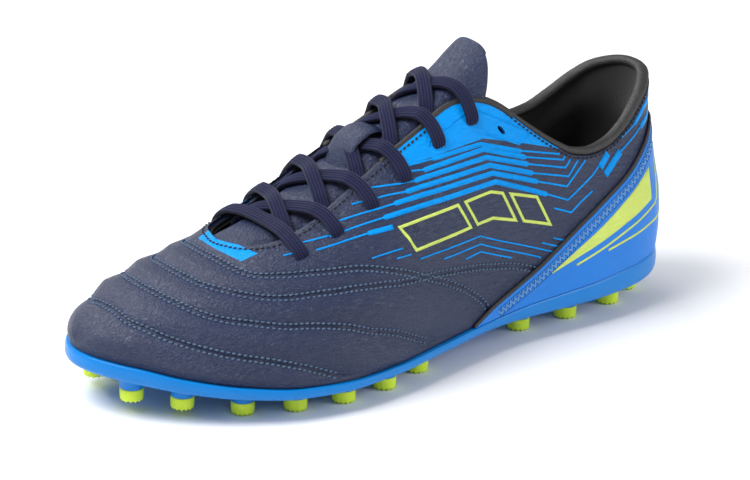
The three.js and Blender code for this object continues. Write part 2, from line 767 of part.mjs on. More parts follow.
// The shoe's origin lies on the floor under the middle of its box.
const box = new THREE.Box3().setFromObject(shoe);
const middle = box.getCenter(new THREE.Vector3());
shoe.position.set(-middle.x, -middle.y, -box.min.z);

export default shoe;
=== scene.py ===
# %% [markdown]
# This lesson dresses a soccer shoe for the left foot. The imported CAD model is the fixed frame:
# it says where the sole, the upper, the tongue and the laces are. Here each of them is modelled
# again with its real surface, such as pinched seams, ribbed laces and a padded collar.

# %% Load the frame
import math
from types import SimpleNamespace

import bpy
import numpy as np
from mathutils import Matrix, Vector


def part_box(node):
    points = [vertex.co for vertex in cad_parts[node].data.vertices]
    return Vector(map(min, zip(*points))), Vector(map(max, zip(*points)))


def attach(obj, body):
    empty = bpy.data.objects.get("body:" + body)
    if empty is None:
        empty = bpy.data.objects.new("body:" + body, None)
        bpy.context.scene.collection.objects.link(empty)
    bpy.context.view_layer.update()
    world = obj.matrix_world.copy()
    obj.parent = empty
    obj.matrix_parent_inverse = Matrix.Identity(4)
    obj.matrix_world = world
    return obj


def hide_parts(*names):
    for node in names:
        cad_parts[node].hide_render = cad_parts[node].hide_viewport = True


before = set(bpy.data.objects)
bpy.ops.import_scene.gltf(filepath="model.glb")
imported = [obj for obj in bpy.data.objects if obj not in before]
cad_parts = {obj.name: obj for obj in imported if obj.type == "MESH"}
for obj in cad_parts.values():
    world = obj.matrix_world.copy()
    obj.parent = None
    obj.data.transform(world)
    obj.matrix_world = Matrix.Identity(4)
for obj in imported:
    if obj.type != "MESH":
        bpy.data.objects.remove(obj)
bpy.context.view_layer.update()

# %% [markdown]
# A shoe is built on a last, a solid form of the foot. The CAD model was made from a last that is
# a formula with two inputs: a turn along the shoe (0 at the heel, 1 at the toe) and a side
# (1 at the outer edge of the sole, 0 on the crown, -1 at the inner edge). The same formula here
# gives every leather piece, so that it lies exactly where its CAD solid is.

# %% Sizes of the last, in millimetres
MM = 0.001
LENGTH = 282.0
BALL_WIDTH = 100.0
HEEL_WIDTH = 70.0
INSTEP_HEIGHT = 88.0
COLLAR_HEIGHT = 76.0
TOE_SPRING = 8.5
HEEL_LEAN = 5.5
STUD_HEIGHT = 8.7
BAND_HEIGHT = 8.0
WALL = 2.0
HEEL_BACK = -LENGTH / 2
WIDENS = (0.3, 0.6)
SKIN_STEP = 0.002
OUTLINE_STEP = 0.004

SECTIONS = [
    # at, lateral, medial, crown, rise, lift, band, side, top
    (0.00, 0.000, 0.000, 0.000, 1.114, 0.45, 1.44, 3.0, 1.7),
    (0.02, 0.271, 0.257, 0.000, 1.118, 0.43, 1.41, 3.0, 1.7),
    (0.06, 0.421, 0.400, 0.000, 1.125, 0.36, 1.41, 3.0, 1.7),
    (0.12, 0.493, 0.457, 0.000, 1.142, 0.27, 1.31, 2.9, 1.7),
    (0.20, 0.521, 0.464, 0.007, 1.165, 0.22, 1.11, 2.7, 1.8),
    (0.30, 0.521, 0.457, 0.014, 1.176, 0.22, 0.87, 2.4, 1.9),
    (0.40, 0.507, 0.404, 0.019, 1.131, 0.22, 0.62, 2.2, 2.0),
    (0.50, 0.505, 0.374, 0.016, 0.994, 0.15, 0.56, 2.1, 2.0),
    (0.60, 0.535, 0.400, 0.005, 0.811, 0.06, 0.55, 2.1, 2.0),
    (0.68, 0.560, 0.440, -0.01, 0.656, 0.00, 0.58, 2.1, 2.0),
    (0.76, 0.535, 0.455, -0.04, 0.528, 0.04, 0.62, 2.2, 2.1),
    (0.84, 0.445, 0.435, -0.07, 0.413, 0.21, 0.71, 2.3, 2.2),
    (0.91, 0.315, 0.370, -0.08, 0.300, 0.50, 0.83, 2.4, 2.3),
    (0.96, 0.180, 0.285, -0.08, 0.182, 0.80, 0.94, 2.4, 2.3),
    (0.99, 0.050, 0.170, -0.075, 0.085, 0.95, 0.94, 2.4, 2.3),
    (1.00, -0.07, 0.070, -0.07, 0.000, 1.00, 0.94, 2.4, 2.3),
]
HEEL_CURVE = [
    (0.00, 0.27), (0.15, 0.00), (0.30, 0.09), (0.50, 0.64), (0.70, 1.00), (0.90, 0.82), (1.00, 0.73),
]
COLLAR_LINE = [
    (0.000, 1.00), (0.030, 0.97), (0.065, 0.90), (0.105, 0.80), (0.147, 0.73), (0.185, 0.71),
    (0.215, 0.725), (0.250, 0.79), (0.282, 0.87), (0.310, 0.95), (0.339, 1.04), (0.365, 1.09),
    (0.400, 1.12), (0.430, 1.13),
]
THROAT = [
    # at, lateral half, medial half, as shares of the ball width
    (0.340, 0.190, 0.190), (0.400, 0.165, 0.165), (0.500, 0.185, 0.185), (0.600, 0.205, 0.205),
    (0.680, 0.215, 0.215), (0.720, 0.205, 0.195), (0.745, 0.170, 0.160), (0.760, 0.120, 0.110),
    (0.768, 0.060, 0.050), (0.771, 0.020, 0.015), (0.7715, 0.0, 0.0),
]
COUNTER_LINE = [
    (0.000, 0.73), (0.030, 0.71), (0.060, 0.63), (0.111, 0.50), (0.173, 0.38), (0.219, 0.28),
    (0.261, 0.18), (0.303, 0.085), (0.346, 0.01), (0.387, -0.05), (0.429, -0.12),
]


# %% Small formulas used all through
def ramp(value, start, end):
    """0 at the start and 1 at the end, straight between them and held outside."""
    return np.clip((value - start) / (end - start), 0, 1)


def bell(distance, width):
    return np.exp(-((distance / width) ** 2))


def unit(vectors):
    length = np.linalg.norm(vectors, axis=-1, keepdims=True)
    return vectors / np.maximum(length, 1e-9)


def way_along(points):
    """The distance along a line of points, from the first to each of them."""
    steps = np.linalg.norm(np.diff(points, axis=0), axis=1)
    return np.concatenate([[0], np.cumsum(steps)])


def at_ways(fine, way, points):
    """The points of a line at other distances along it."""
    return np.stack([np.interp(fine, way, points[:, k]) for k in range(points.shape[1])], axis=1)


# %% A smooth line through rows, which never overshoots them
def end_tangent(near_step, far_step, near_slope, far_slope):
    guess = ((2 * near_step + far_step) * near_slope - near_step * far_slope) / (near_step + far_step)
    if guess * near_slope <= 0:
        return 0.0
    if near_slope * far_slope < 0 and abs(guess) > 3 * abs(near_slope):
        return 3 * near_slope
    return guess


def smooth_line(places, values):
    x = np.array(places, float)
    y = np.array(values, float)
    step = np.diff(x)
    slope = np.diff(y) / step
    tangent = np.zeros_like(y)
    before = 2 * step[1:] + step[:-1]
    after = step[1:] + 2 * step[:-1]
    for i in np.nonzero(slope[:-1] * slope[1:] > 0)[0]:
        tangent[i + 1] = (before[i] + after[i]) / (before[i] / slope[i] + after[i] / slope[i + 1])
    tangent[0] = end_tangent(step[0], step[1], slope[0], slope[1])
    tangent[-1] = end_tangent(step[-1], step[-2], slope[-1], slope[-2])

    def read(at):
        t = np.clip(at, x[0], x[-1])
        i = np.clip(np.searchsorted(x, t, side="right") - 1, 0, len(step) - 1)
        q = (t - x[i]) / step[i]
        rise = q * q * (3 - 2 * q)
        bend = (1 - q) * tangent[i] - q * tangent[i + 1]
        return y[i] * (1 - rise) + y[i + 1] * rise + step[i] * q * (1 - q) * bend

    return read


def turn_of(share):
    return np.arccos(1 - 2 * np.asarray(share, float)) / np.pi


def share_of(turn):
    return (1 - np.cos(np.pi * np.asarray(turn, float))) / 2


section_names = ("lateral", "medial", "crown", "rise", "lift", "band", "side", "top")
section_turns = turn_of([row[0] for row in SECTIONS])
column = {
    name: smooth_line(section_turns, [row[i + 1] for row in SECTIONS])
    for i, name in enumerate(section_names)
}
heel_lean = smooth_line(*zip(*HEEL_CURVE))
collar_share = smooth_line(*zip(*COLLAR_LINE))
counter_share = smooth_line(*zip(*COUNTER_LINE))
throat_lateral = smooth_line([row[0] for row in THROAT], [row[1] for row in THROAT])
throat_medial = smooth_line([row[0] for row in THROAT], [row[2] for row in THROAT])


# %% The last itself
def local_width(share):
    t = ramp(share, *WIDENS)
    return HEEL_WIDTH + (BALL_WIDTH - HEEL_WIDTH) * t * t * (3 - 2 * t)


def station(turn):
    share = share_of(turn)
    width = local_width(share)
    under = STUD_HEIGHT + TOE_SPRING * column["lift"](turn)
    feather = under + BAND_HEIGHT * column["band"](turn)
    return SimpleNamespace(
        share=share,
        lateral=width * column["lateral"](turn),
        medial=-width * column["medial"](turn),
        crown=width * column["crown"](turn),
        under=under,
        feather=feather,
        ridge=feather + INSTEP_HEIGHT * column["rise"](turn),
        side=column["side"](turn),
        top=column["top"](turn),
    )


HEEL_FEATHER = float(station(0.0).feather)


def collar_z(share):
    return HEEL_FEATHER + COLLAR_HEIGHT * collar_share(share)


def counter_z(share):
    return HEEL_FEATHER + COLLAR_HEIGHT * counter_share(share)


def along_x(share, z):
    lean = HEEL_LEAN * heel_lean((z - HEEL_FEATHER) / COLLAR_HEIGHT)
    return HEEL_BACK + share * LENGTH + lean * (1 - share) ** 6


def skin(turn, side):
    turn, side = np.broadcast_arrays(np.asarray(turn, float), np.asarray(side, float))
    at = station(turn)
    angle = (1 - np.abs(side)) * np.pi / 2
    out = np.maximum(np.cos(angle), 0) ** (2 / at.side)
    up = np.maximum(np.sin(angle), 0) ** (2 / at.top)
    edge = np.where(side >= 0, at.lateral, at.medial)
    y = at.crown + (edge - at.crown) * out
    z = at.feather + (at.ridge - at.feather) * up
    return np.stack([along_x(at.share, z), y, z], axis=-1)


def skin_normal(turn, side):
    t = np.clip(turn, SKIN_STEP, 1 - SKIN_STEP)
    along = skin(np.minimum(t + SKIN_STEP, 1), side) - skin(np.maximum(t - SKIN_STEP, 0), side)
    across = skin(t, np.minimum(side + SKIN_STEP, 1)) - skin(t, np.maximum(side - SKIN_STEP, -1))
    return unit(np.cross(along, across))


def offset_skin(turn, side, out):
    turn, side, out = np.broadcast_arrays(*(np.asarray(v, float) for v in (turn, side, out)))
    point = skin(turn, side) + skin_normal(turn, side) * out[..., None]
    point[..., 1] = np.where(turn <= 0, station(0.0).crown, point[..., 1])
    return point


# %% [markdown]
# The CAD model is centred on its box, so the last's own zero lies a little off the frame's. The
# last stud stands on the crown line at a known share of the length, so its box gives the shift.

# %% From the last to the frame
CENTRE_STUD = 24
CENTRE_STUD_AT = 0.740


def frame_shift():
    low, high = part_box(f"stud_tip_{CENTRE_STUD}")
    middle = (low + high) / 2 / MM
    at = station(turn_of(CENTRE_STUD_AT))
    return np.array([middle.x - HEEL_BACK - CENTRE_STUD_AT * LENGTH, middle.y - float(at.crown), 0.0])


FRAME_SHIFT = frame_shift()
print("From the last's zero to the frame's, in mm:", FRAME_SHIFT.round(3))


# %% Places on the last by height and by width
def side_at_height(turn, z):
    at = station(turn)
    up = np.clip((z - at.feather) / (at.ridge - at.feather + 1e-9), 0, 1)
    return 1 - 2 * np.arcsin(up ** (at.top / 2)) / np.pi


def side_at_width(turn, out):
    at = station(turn)
    edge = np.where(out >= 0, at.lateral, at.medial)
    share = np.minimum(np.abs(out) / np.maximum(np.abs(edge - at.crown), 1e-9), 1)
    return np.sign(out) * (1 - 2 * np.arccos(share ** (at.side / 2)) / np.pi)


def outline_point(turn, sign, out, z):
    """A point of the sole's outline, moved out from the feather edge."""
    turn = np.asarray(turn, float)
    edge = skin(turn, sign)
    before = skin(np.maximum(turn - OUTLINE_STEP, 0), sign)
    after = skin(np.minimum(turn + OUTLINE_STEP, 1), sign)
    flat = np.stack([after[..., 1] - before[..., 1], before[..., 0] - after[..., 0]], axis=-1)
    flat = unit(flat) * -sign
    flat[..., 0] = np.where(turn <= 0, -1, np.where(turn >= 1, 1, flat[..., 0]))
    flat[..., 1] = np.where((turn <= 0) | (turn >= 1), 0, flat[..., 1])
    x = edge[..., 0] + flat[..., 0] * out
    y = edge[..., 1] + flat[..., 1] * out
    return np.stack([x, y, np.broadcast_to(z, x.shape)], axis=-1)


# %% [markdown]
# Prints and films are laid out flat, as a maker cuts them. A place on the flat sheet is a run,
# the distance along the sole's edge from the back of the heel, and a height, the distance up the
# skin from that edge. Two functions go from the last to the sheet and back.

# %% The flat sheet of each side
TABLE_TURNS = np.linspace(0, 1, 1601)
RUN_TABLE = {}
for sign in (1, -1):
    RUN_TABLE[sign] = way_along(skin(TABLE_TURNS, float(sign))[:, :2])
print("Sole edge in mm, outer and inner side:", [round(float(RUN_TABLE[s][-1]), 1) for s in (1, -1)])


def run_at(turn, sign):
    return np.interp(turn, TABLE_TURNS, RUN_TABLE[sign])


def turn_at_run(run, sign):
    return np.interp(run, RUN_TABLE[sign], TABLE_TURNS)


def height_up(turn, side, steps=32):
    """The distance up the skin from the feather edge to a side value."""
    turn, side = np.broadcast_arrays(np.asarray(turn, float), np.asarray(side, float))
    edge = np.where(side >= 0, 1.0, -1.0)
    total = np.zeros(turn.shape)
    last = skin(turn, edge)
    for i in range(1, steps + 1):
        here = skin(turn, edge + (side - edge) * i / steps)
        total += np.linalg.norm(here - last, axis=-1)
        last = here
    return total


def from_sheet(run, height, sign):
    """The turn and the side of places on the flat sheet."""
    turns = turn_at_run(run, sign)
    sides = np.linspace(1, 0, 61)
    line = skin(turns[:, None], sign * sides[None, :])
    rise = np.linalg.norm(np.diff(line, axis=1), axis=2)
    rise = np.concatenate([np.zeros((len(turns), 1)), np.cumsum(rise, axis=1)], axis=1)
    found = [np.interp(h, row, sides) for h, row in zip(height, rise)]
    return turns, sign * np.array(found)


# %% [markdown]
# The vamp is pinched by four double-stitched seams and puffs up between them. Each seam is a row
# of places chosen on the last, as share of the length and side. They run from the inner
# side over the toe to the outer side, and the inner half mirrors the outer one.

# %% Seams and creases as relief
SEAMS = {
    "toe": [
        (0.951, 0.001), (0.951, 0.258), (0.938, 0.479), (0.921, 0.619), (0.894, 0.724), (0.869, 0.771),
        (0.839, 0.811), (0.803, 0.844), (0.762, 0.891), (0.728, 0.939), (0.690, 0.985), (0.672, 1.0),
    ],
    "low": [
        (0.898, 0.000), (0.894, 0.173), (0.882, 0.336), (0.866, 0.451), (0.844, 0.531), (0.809, 0.599),
        (0.772, 0.654), (0.728, 0.701), (0.683, 0.756), (0.646, 0.819), (0.594, 0.886), (0.540, 0.959),
        (0.498, 1.0),
    ],
    "middle": [
        (0.850, 0.000), (0.844, 0.188), (0.821, 0.336), (0.791, 0.436), (0.755, 0.506), (0.711, 0.556),
        (0.668, 0.606), (0.620, 0.669), (0.575, 0.721), (0.529, 0.761), (0.479, 0.796), (0.429, 0.829),
        (0.383, 0.856), (0.335, 0.881), (0.303, 0.904),
    ],
    "high": [
        (0.799, 0.000), (0.794, 0.173), (0.781, 0.288), (0.749, 0.376), (0.701, 0.459), (0.646, 0.549),
        (0.602, 0.634), (0.571, 0.689), (0.529, 0.761), (0.483, 0.826), (0.433, 0.899), (0.398, 0.960),
        (0.387, 1.0),
    ],
}


def even_line(turns, sides, step):
    """A smooth line through places on the last, as evenly spaced turns and sides."""
    way = way_along(skin(turns, sides))
    turn_line = smooth_line(way, turns)
    side_line = smooth_line(way, sides)
    fine = np.linspace(0, way[-1], 400)
    real = way_along(skin(turn_line(fine), side_line(fine)))
    count = max(int(real[-1] / step), 2)
    places = np.interp(np.linspace(0, real[-1], count + 1), real, fine)
    return turn_line(places), side_line(places)


def seam_line(name, step):
    half = SEAMS[name]
    places = [(share, -side) for share, side in reversed(half[1:])] + half
    shares, sides = np.array(places).T
    return even_line(turn_of(shares), sides, step)


seam_points = {name: skin(*seam_line(name, 1.5)) for name in SEAMS}

# Creases where the forefoot bends: place, length along the sheet, slope, depth and width in mm.
CREASES = [
    # share, side, long, slope, depth, width
    (0.560, 0.56, 17, 70, 0.30, 1.3), (0.540, 0.60, 20, 62, 0.34, 1.4), (0.520, 0.54, 15, 75, 0.26, 1.2),
    (0.500, 0.63, 14, 58, 0.28, 1.3), (0.585, 0.60, 16, 66, 0.28, 1.3), (0.610, 0.53, 12, 74, 0.24, 1.1),
    (0.480, 0.58, 11, 66, 0.22, 1.1), (0.455, 0.66, 13, 50, 0.24, 1.3), (0.640, 0.45, 11, 70, 0.22, 1.1),
    (0.700, 0.62, 22, 30, 0.30, 1.8), (0.760, 0.57, 18, 24, 0.26, 1.6), (0.660, 0.70, 20, 26, 0.30, 1.8),
    (0.800, 0.70, 16, 20, 0.24, 1.6), (0.720, 0.78, 18, 16, 0.26, 1.8), (0.620, 0.80, 18, 18, 0.26, 1.7),
]


def segment_distance(points, line):
    """The distance from each point to a line through points."""
    best = np.full(len(points), 1e9)
    for start, end in zip(line[:-1], line[1:]):
        along = end - start
        part = np.clip((points - start) @ along / (along @ along), 0, 1)
        gap = points - start - part[:, None] * along
        best = np.minimum(best, np.einsum("ij,ij->i", gap, gap))
    return np.sqrt(best)


PINCH_DEPTH = 0.85
PINCH_WIDTH = 1.35
DIP_DEPTH = 0.75
DIP_WIDTH = 5.0
PUFF = 1.25
PUFF_WIDTH = 8.0
PUFF_GROWS = (0.40, 0.62)
CROWN_PUFF = 0.35
CROWN_SIDES = (0.36, 0.56)
TOE_FROM = (0.77, 0.80)
DIP_GROWS = (0.45, 0.55)
SEAMS_FROM = 0.27
RIDGE_SHARE = 0.45
RIDGE_OUT = 1.9
SOLE_FADE = 2.2
TIP_FADE = 0.004
STEP_ALONG = 0.01
STEP_UP = 0.02


def crease_depth(points, crease, sign):
    """How deep a crease is at each point, with the low ridge that stands round it."""
    place, middle, long, slope, depth, width = crease
    turn = float(turn_of(place))
    centre = skin(turn, float(sign * middle))
    run = skin(turn + STEP_ALONG, float(sign * middle)) - centre
    rise = skin(turn, float(sign * (middle - STEP_UP))) - centre
    angle = math.radians(slope)
    along = unit(unit(run) * -math.cos(angle) + unit(rise) * math.sin(angle))
    part = np.clip((points - centre) @ along, -long / 2, long / 2)
    off = np.linalg.norm(points - centre - part[:, None] * along, axis=1)
    fade = depth * np.cos(part / long * np.pi) ** 2
    return fade * (bell(off, width) - RIDGE_SHARE * bell(off - RIDGE_OUT * width, width))


def relief(turn, side):
    """How far the leather stands off the last, in mm: puffs, pinched seams and creases."""
    turn, side = np.broadcast_arrays(np.asarray(turn, float), np.asarray(side, float))
    shape = turn.shape
    turn = turn.ravel()
    side = side.ravel()
    points = skin(turn, side)
    share = share_of(turn)
    gap = np.full(len(points), 1e3)
    near = share > SEAMS_FROM
    for line in seam_points.values():
        gap[near] = np.minimum(gap[near], segment_distance(points[near], line))
    puff = PUFF * (1 - bell(gap, PUFF_WIDTH)) * ramp(share, *PUFF_GROWS)
    low, high = CROWN_SIDES
    off_crown = (np.abs(side) - low) / (high - low) + ramp(share, *TOE_FROM)
    puff *= CROWN_PUFF + (1 - CROWN_PUFF) * np.clip(off_crown, 0, 1)
    out = puff - PINCH_DEPTH * bell(gap, PINCH_WIDTH)
    out -= DIP_DEPTH * bell(gap, DIP_WIDTH) * ramp(share, *DIP_GROWS)
    for crease in CREASES:
        out -= crease_depth(points, crease, 1) + crease_depth(points, crease, -1)
    edge = np.linalg.norm(points - skin(turn, np.where(side >= 0, 1.0, -1.0)), axis=1)
    out *= 1 - bell(edge, SOLE_FADE)
    out *= 1 - bell(1 - share, TIP_FADE)
    return out.reshape(shape)


def surface(turn, side, above=0.0):
    """A point on the dressed leather, or above it."""
    return offset_skin(turn, side, relief(turn, side) + above)


# %% [markdown]
# The helpers below keep the modelling short. A grid primitive is added and its corners are moved
# to the places that a formula gives. Tubes are grids too, with their long edges merged.

# %% Helpers that make a piece
DOME_ANGLES = (30, 60, 90)


def deselect():
    bpy.ops.object.select_all(action="DESELECT")


def activate(piece):
    deselect()
    piece.select_set(True)
    bpy.context.view_layer.objects.active = piece


def edit(piece, *steps):
    """Runs edit-mode steps on all of a piece."""
    activate(piece)
    bpy.ops.object.mode_set(mode="EDIT")
    bpy.ops.mesh.select_all(action="SELECT")
    for step in steps:
        step()
    bpy.ops.object.mode_set(mode="OBJECT")


def select_faces(piece, chosen):
    """Selects these faces and nothing else, ready for edit mode."""
    mesh = piece.data
    bpy.context.tool_settings.mesh_select_mode = (False, False, True)
    mesh.vertices.foreach_set("select", np.zeros(len(mesh.vertices), bool))
    mesh.edges.foreach_set("select", np.zeros(len(mesh.edges), bool))
    mesh.polygons.foreach_set("select", chosen)


def seal(piece, merge):
    """Merges corners that meet, turns the faces outward and shades the piece smooth."""
    edit(
        piece,
        lambda: bpy.ops.mesh.remove_doubles(threshold=merge * MM),
        lambda: bpy.ops.mesh.normals_make_consistent(inside=False),
    )
    bpy.ops.object.shade_smooth()
    return piece


def grid_piece(name, points, uv=None, merge=0.01, marks=None, drop=None):
    """A grid whose corner [column, row] lies at points[column, row], in mm of the last's frame."""
    columns, rows = points.shape[:2]
    deselect()
    bpy.ops.mesh.primitive_grid_add(x_subdivisions=columns - 1, y_subdivisions=rows - 1, size=2)
    piece = bpy.context.object
    piece.name = name
    mesh = piece.data
    mesh.name = name
    flat = np.empty(len(mesh.vertices) * 3)
    mesh.vertices.foreach_get("co", flat)
    flat = flat.reshape(-1, 3)
    i = np.rint((flat[:, 0] + 1) / 2 * (columns - 1)).astype(int)
    j = np.rint((flat[:, 1] + 1) / 2 * (rows - 1)).astype(int)
    mesh.vertices.foreach_set("co", ((points[i, j] + FRAME_SHIFT) * MM).ravel())
    corner = np.empty(len(mesh.loops), int)
    mesh.loops.foreach_get("vertex_index", corner)
    if uv is not None:
        mesh.uv_layers.active.data.foreach_set("uv", uv[i, j][corner].ravel())
    for mark, values in (marks or {}).items():
        layer = mesh.attributes.new(mark, "FLOAT", "POINT")
        layer.data.foreach_set("value", values[i, j].astype(np.float32))
    if drop is not None:
        gone = drop[i, j]
        bad = gone[corner].reshape(-1, 4).all(axis=1)
        select_faces(piece, bad)
        bpy.ops.object.mode_set(mode="EDIT")
        bpy.ops.mesh.delete(type="FACE")
        bpy.ops.object.mode_set(mode="OBJECT")
        bpy.context.tool_settings.mesh_select_mode = (True, False, False)
    return seal(piece, merge)


def join(name, pieces):
    """Several meshes as one piece."""
    deselect()
    for piece in pieces:
        piece.select_set(True)
    bpy.context.view_layer.objects.active = pieces[0]
    bpy.ops.object.join()
    piece = bpy.context.object
    piece.name = name
    piece.data.name = name
    return piece


def apply_modifier(piece, kind, **settings):
    activate(piece)
    modifier = piece.modifiers.new(kind.title(), kind)
    for key, value in settings.items():
        setattr(modifier, key, value)
    bpy.ops.object.modifier_apply(modifier=modifier.name)


def dress(piece, material, slot, *nodes):
    """Gives a piece its material, the nodes it stands for and its body; the slot is not used."""
    piece.data.materials.clear()
    piece.data.materials.append(material)
    if nodes:
        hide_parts(*nodes)
    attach(piece, "root")
    print(f"{piece.name}: {len(piece.data.polygons)} faces")
    return piece


def closed_ends(points):
    """Closes both ends of a tube of rings with a point in the middle of the last ring."""
    ends = [np.repeat(points[end].mean(axis=0)[None], points.shape[1], axis=0) for end in (0, -1)]
    return np.concatenate([ends[:1], points, ends[1:]])


def sweep(centres, ups, section):
    """Rings of a section along a route, in mm, with domed ends. section(i) is ring i's outline."""
    centres = np.asarray(centres, float)
    tangent = unit(np.gradient(centres, axis=0))
    up = unit(ups - np.einsum("ij,ij->i", ups, tangent)[:, None] * tangent)
    across = np.cross(tangent, up)
    rings = []
    count = len(centres)
    for i in range(count):
        shape = section(i)
        rings.append(centres[i] + shape[:, :1] * across[i] + shape[:, 1:] * up[i])
    for end, way in ((0, -1), (count - 1, 1)):
        shape = section(end)
        radius = np.abs(shape[:, 1]).max()
        caps = []
        for angle in np.radians(DOME_ANGLES):
            middle = centres[end] + tangent[end] * way * radius * math.sin(angle)
            flat = shape[:, :1] * across[end] + shape[:, 1:] * up[end]
            caps.append(middle + math.cos(angle) * flat)
        rings = caps[::-1] + rings if end == 0 else rings + caps
    rings = np.array(rings)
    return np.concatenate([rings, rings[:, :1]], axis=1)


SHEET = 400.0


def ring_uv(rings):
    """Length along a swept piece and distance round it, in shares of 400 mm."""
    middle = rings[:, :-1].mean(axis=1)
    round_ = np.linspace(0, 1, rings.shape[1])
    u, v = np.meshgrid(way_along(middle) / SHEET, round_, indexing="ij")
    return np.stack([u, v], axis=-1)


def oval(wide, thick, count=16):
    angle = np.arange(count) * 2 * np.pi / count
    return np.stack([wide / 2 * np.cos(angle), thick / 2 * np.sin(angle)], axis=1)


# %% [markdown]
# The camera stands where the photograph's did: high on the outer side of the toe, far away with
# a long lens, and rolled a little. The floor is plain and pale, and the light is a large soft box
# from the upper left, with weaker ones from the right and from behind.

# %% Camera, floor and light
IMAGE_WIDTH = 750
SENSOR = 36.0
CAMERA_AZIMUTH = 36.89
CAMERA_ELEVATION = 20.67
CAMERA_ROLL = 1.55
CAMERA_DISTANCE = 1649.55
FOCAL_PIXELS = 4005
AIM = np.array([2.12, -2.55, 45.89])
LIGHTS = [
    # name, place in metres, width and height in metres, watts
    ("key", (0.9, -0.2, 1.5), (1.0, 1.0), 34),
    ("side", (-1.1, 1.2, 0.8), (0.9, 0.9), 12),
    ("back", (0.2, -1.6, 1.0), (1.6, 0.7), 14),
]
LIGHTS_AIM = Vector((0, 0, 0.05))
SKY_STRENGTH = 0.37
FLOOR_SIZE = 14


def make_camera():
    azimuth = math.radians(CAMERA_AZIMUTH)
    rise = math.radians(CAMERA_ELEVATION)
    roll = math.radians(CAMERA_ROLL)
    flat = math.cos(rise)
    back = np.array([math.sin(azimuth) * flat, math.cos(azimuth) * flat, math.sin(rise)])
    right = unit(np.cross(-back, [0, 0, 1]))
    up = np.cross(right, -back)
    rolled_right = math.cos(roll) * right + math.sin(roll) * up
    rolled_up = -math.sin(roll) * right + math.cos(roll) * up
    data = bpy.data.cameras.new("camera")
    data.sensor_fit = "HORIZONTAL"
    data.sensor_width = SENSOR
    data.lens = FOCAL_PIXELS * SENSOR / IMAGE_WIDTH
    data.clip_end = 20
    camera = bpy.data.objects.new("camera", data)
    bpy.context.scene.collection.objects.link(camera)
    place = Matrix([*zip(rolled_right, rolled_up, back)]).to_4x4()
    place.translation = Vector((AIM + back * CAMERA_DISTANCE) * MM)
    camera.matrix_world = place
    bpy.context.scene.camera = camera


def soft_box(name, place, size, power):
    data = bpy.data.lights.new(name, "AREA")
    data.shape = "RECTANGLE"
    data.size, data.size_y = size
    data.energy = power
    light = bpy.data.objects.new(name, data)
    bpy.context.scene.collection.objects.link(light)
    light.location = place
    light.rotation_euler = (LIGHTS_AIM - Vector(place)).to_track_quat("-Z", "Y").to_euler()


def make_floor():
    deselect()
    bpy.ops.mesh.primitive_plane_add(size=FLOOR_SIZE)
    floor = bpy.context.object
    floor.name = "floor"
    material = bpy.data.materials.new("pale_floor")
    material.use_nodes = True
    shader = material.node_tree.nodes["Principled BSDF"]
    shader.inputs["Base Color"].default_value = (0.92, 0.925, 0.935, 1)
    shader.inputs["Roughness"].default_value = 0.9
    floor.data.materials.append(material)


make_camera()
make_floor()
for light in LIGHTS:
    soft_box(*light)
world = bpy.data.worlds.new("studio")
world.use_nodes = True
sky = world.node_tree.nodes["Background"]
sky.inputs["Color"].default_value = (1, 1, 1, 1)
sky.inputs["Strength"].default_value = SKY_STRENGTH
bpy.context.scene.world = world
bpy.context.scene.view_settings.view_transform = "Standard"
print("Lens in mm:", round(bpy.context.scene.camera.data.lens, 1))

# %% [markdown]
# Every finish is a few nodes. The leather is a pebbled grain of small cells broken by short
# wrinkles, and a film printed on it keeps the same grain. The cord's weave follows its own
# length, so it reads the piece's UV map.


# %% A short way to write nodes
def new_material(name):
    material = bpy.data.materials.new(name)
    material.use_nodes = True
    return material, material.node_tree, material.node_tree.nodes["Principled BSDF"]


def node(tree, kind, settings=None, **inputs):
    """A node with its inputs set: a socket is linked, anything else is its value."""
    made = tree.nodes.new(kind)
    for key, value in (settings or {}).items():
        setattr(made, key, value)
    for key, value in inputs.items():
        numbered = key[0] == "i" and key[1:].isdigit()
        socket = made.inputs[int(key[1:]) if numbered else key.replace("_", " ")]
        if isinstance(value, bpy.types.NodeSocket):
            tree.links.new(value, socket)
        else:
            socket.default_value = value
    return made


def calc(tree, operation, *values):
    inputs = {f"i{index}": value for index, value in enumerate(values)}
    return node(tree, "ShaderNodeMath", {"operation": operation}, **inputs).outputs[0]


def blend_colours(tree, share, first, second):
    mix = node(tree, "ShaderNodeMix", {"data_type": "RGBA"}, i0=share, i6=first, i7=second)
    return mix.outputs[2]


def colour(red, green, blue):
    """A display colour, 0 to 255, as the linear values that Blender mixes."""
    parts = [value / 255 for value in (red, green, blue)]
    return (*[p / 12.92 if p <= 0.04045 else ((p + 0.055) / 1.055) ** 2.4 for p in parts], 1)


def place_in_mm(tree):
    """Object coordinates counted in millimetres."""
    place = node(tree, "ShaderNodeTexCoord").outputs["Object"]
    return node(tree, "ShaderNodeMapping", Vector=place, Scale=(1000,) * 3).outputs[0]


def noise(tree, place, scale, detail, **more):
    made = node(tree, "ShaderNodeTexNoise", Vector=place, Scale=scale, Detail=detail, **more)
    return made.outputs["Fac"]


def waves(tree, place, scale, way, **more):
    settings = {"bands_direction": way}
    made = node(tree, "ShaderNodeTexWave", settings, Vector=place, Scale=scale, **more)
    return made.outputs["Fac"]


def shade(base, factor):
    """A darker or lighter version of a colour."""
    return tuple(min(value * factor, 1) for value in base[:3]) + (1,)


def set_shader(shader, **values):
    """Gives the shader's own inputs their constants."""
    for name, value in values.items():
        shader.inputs[name.replace("_", " ")].default_value = value


def add_bump(tree, shader, height, strength, distance):
    bump = node(tree, "ShaderNodeBump", Strength=strength, Distance=distance, Height=height)
    tree.links.new(bump.outputs[0], shader.inputs["Normal"])


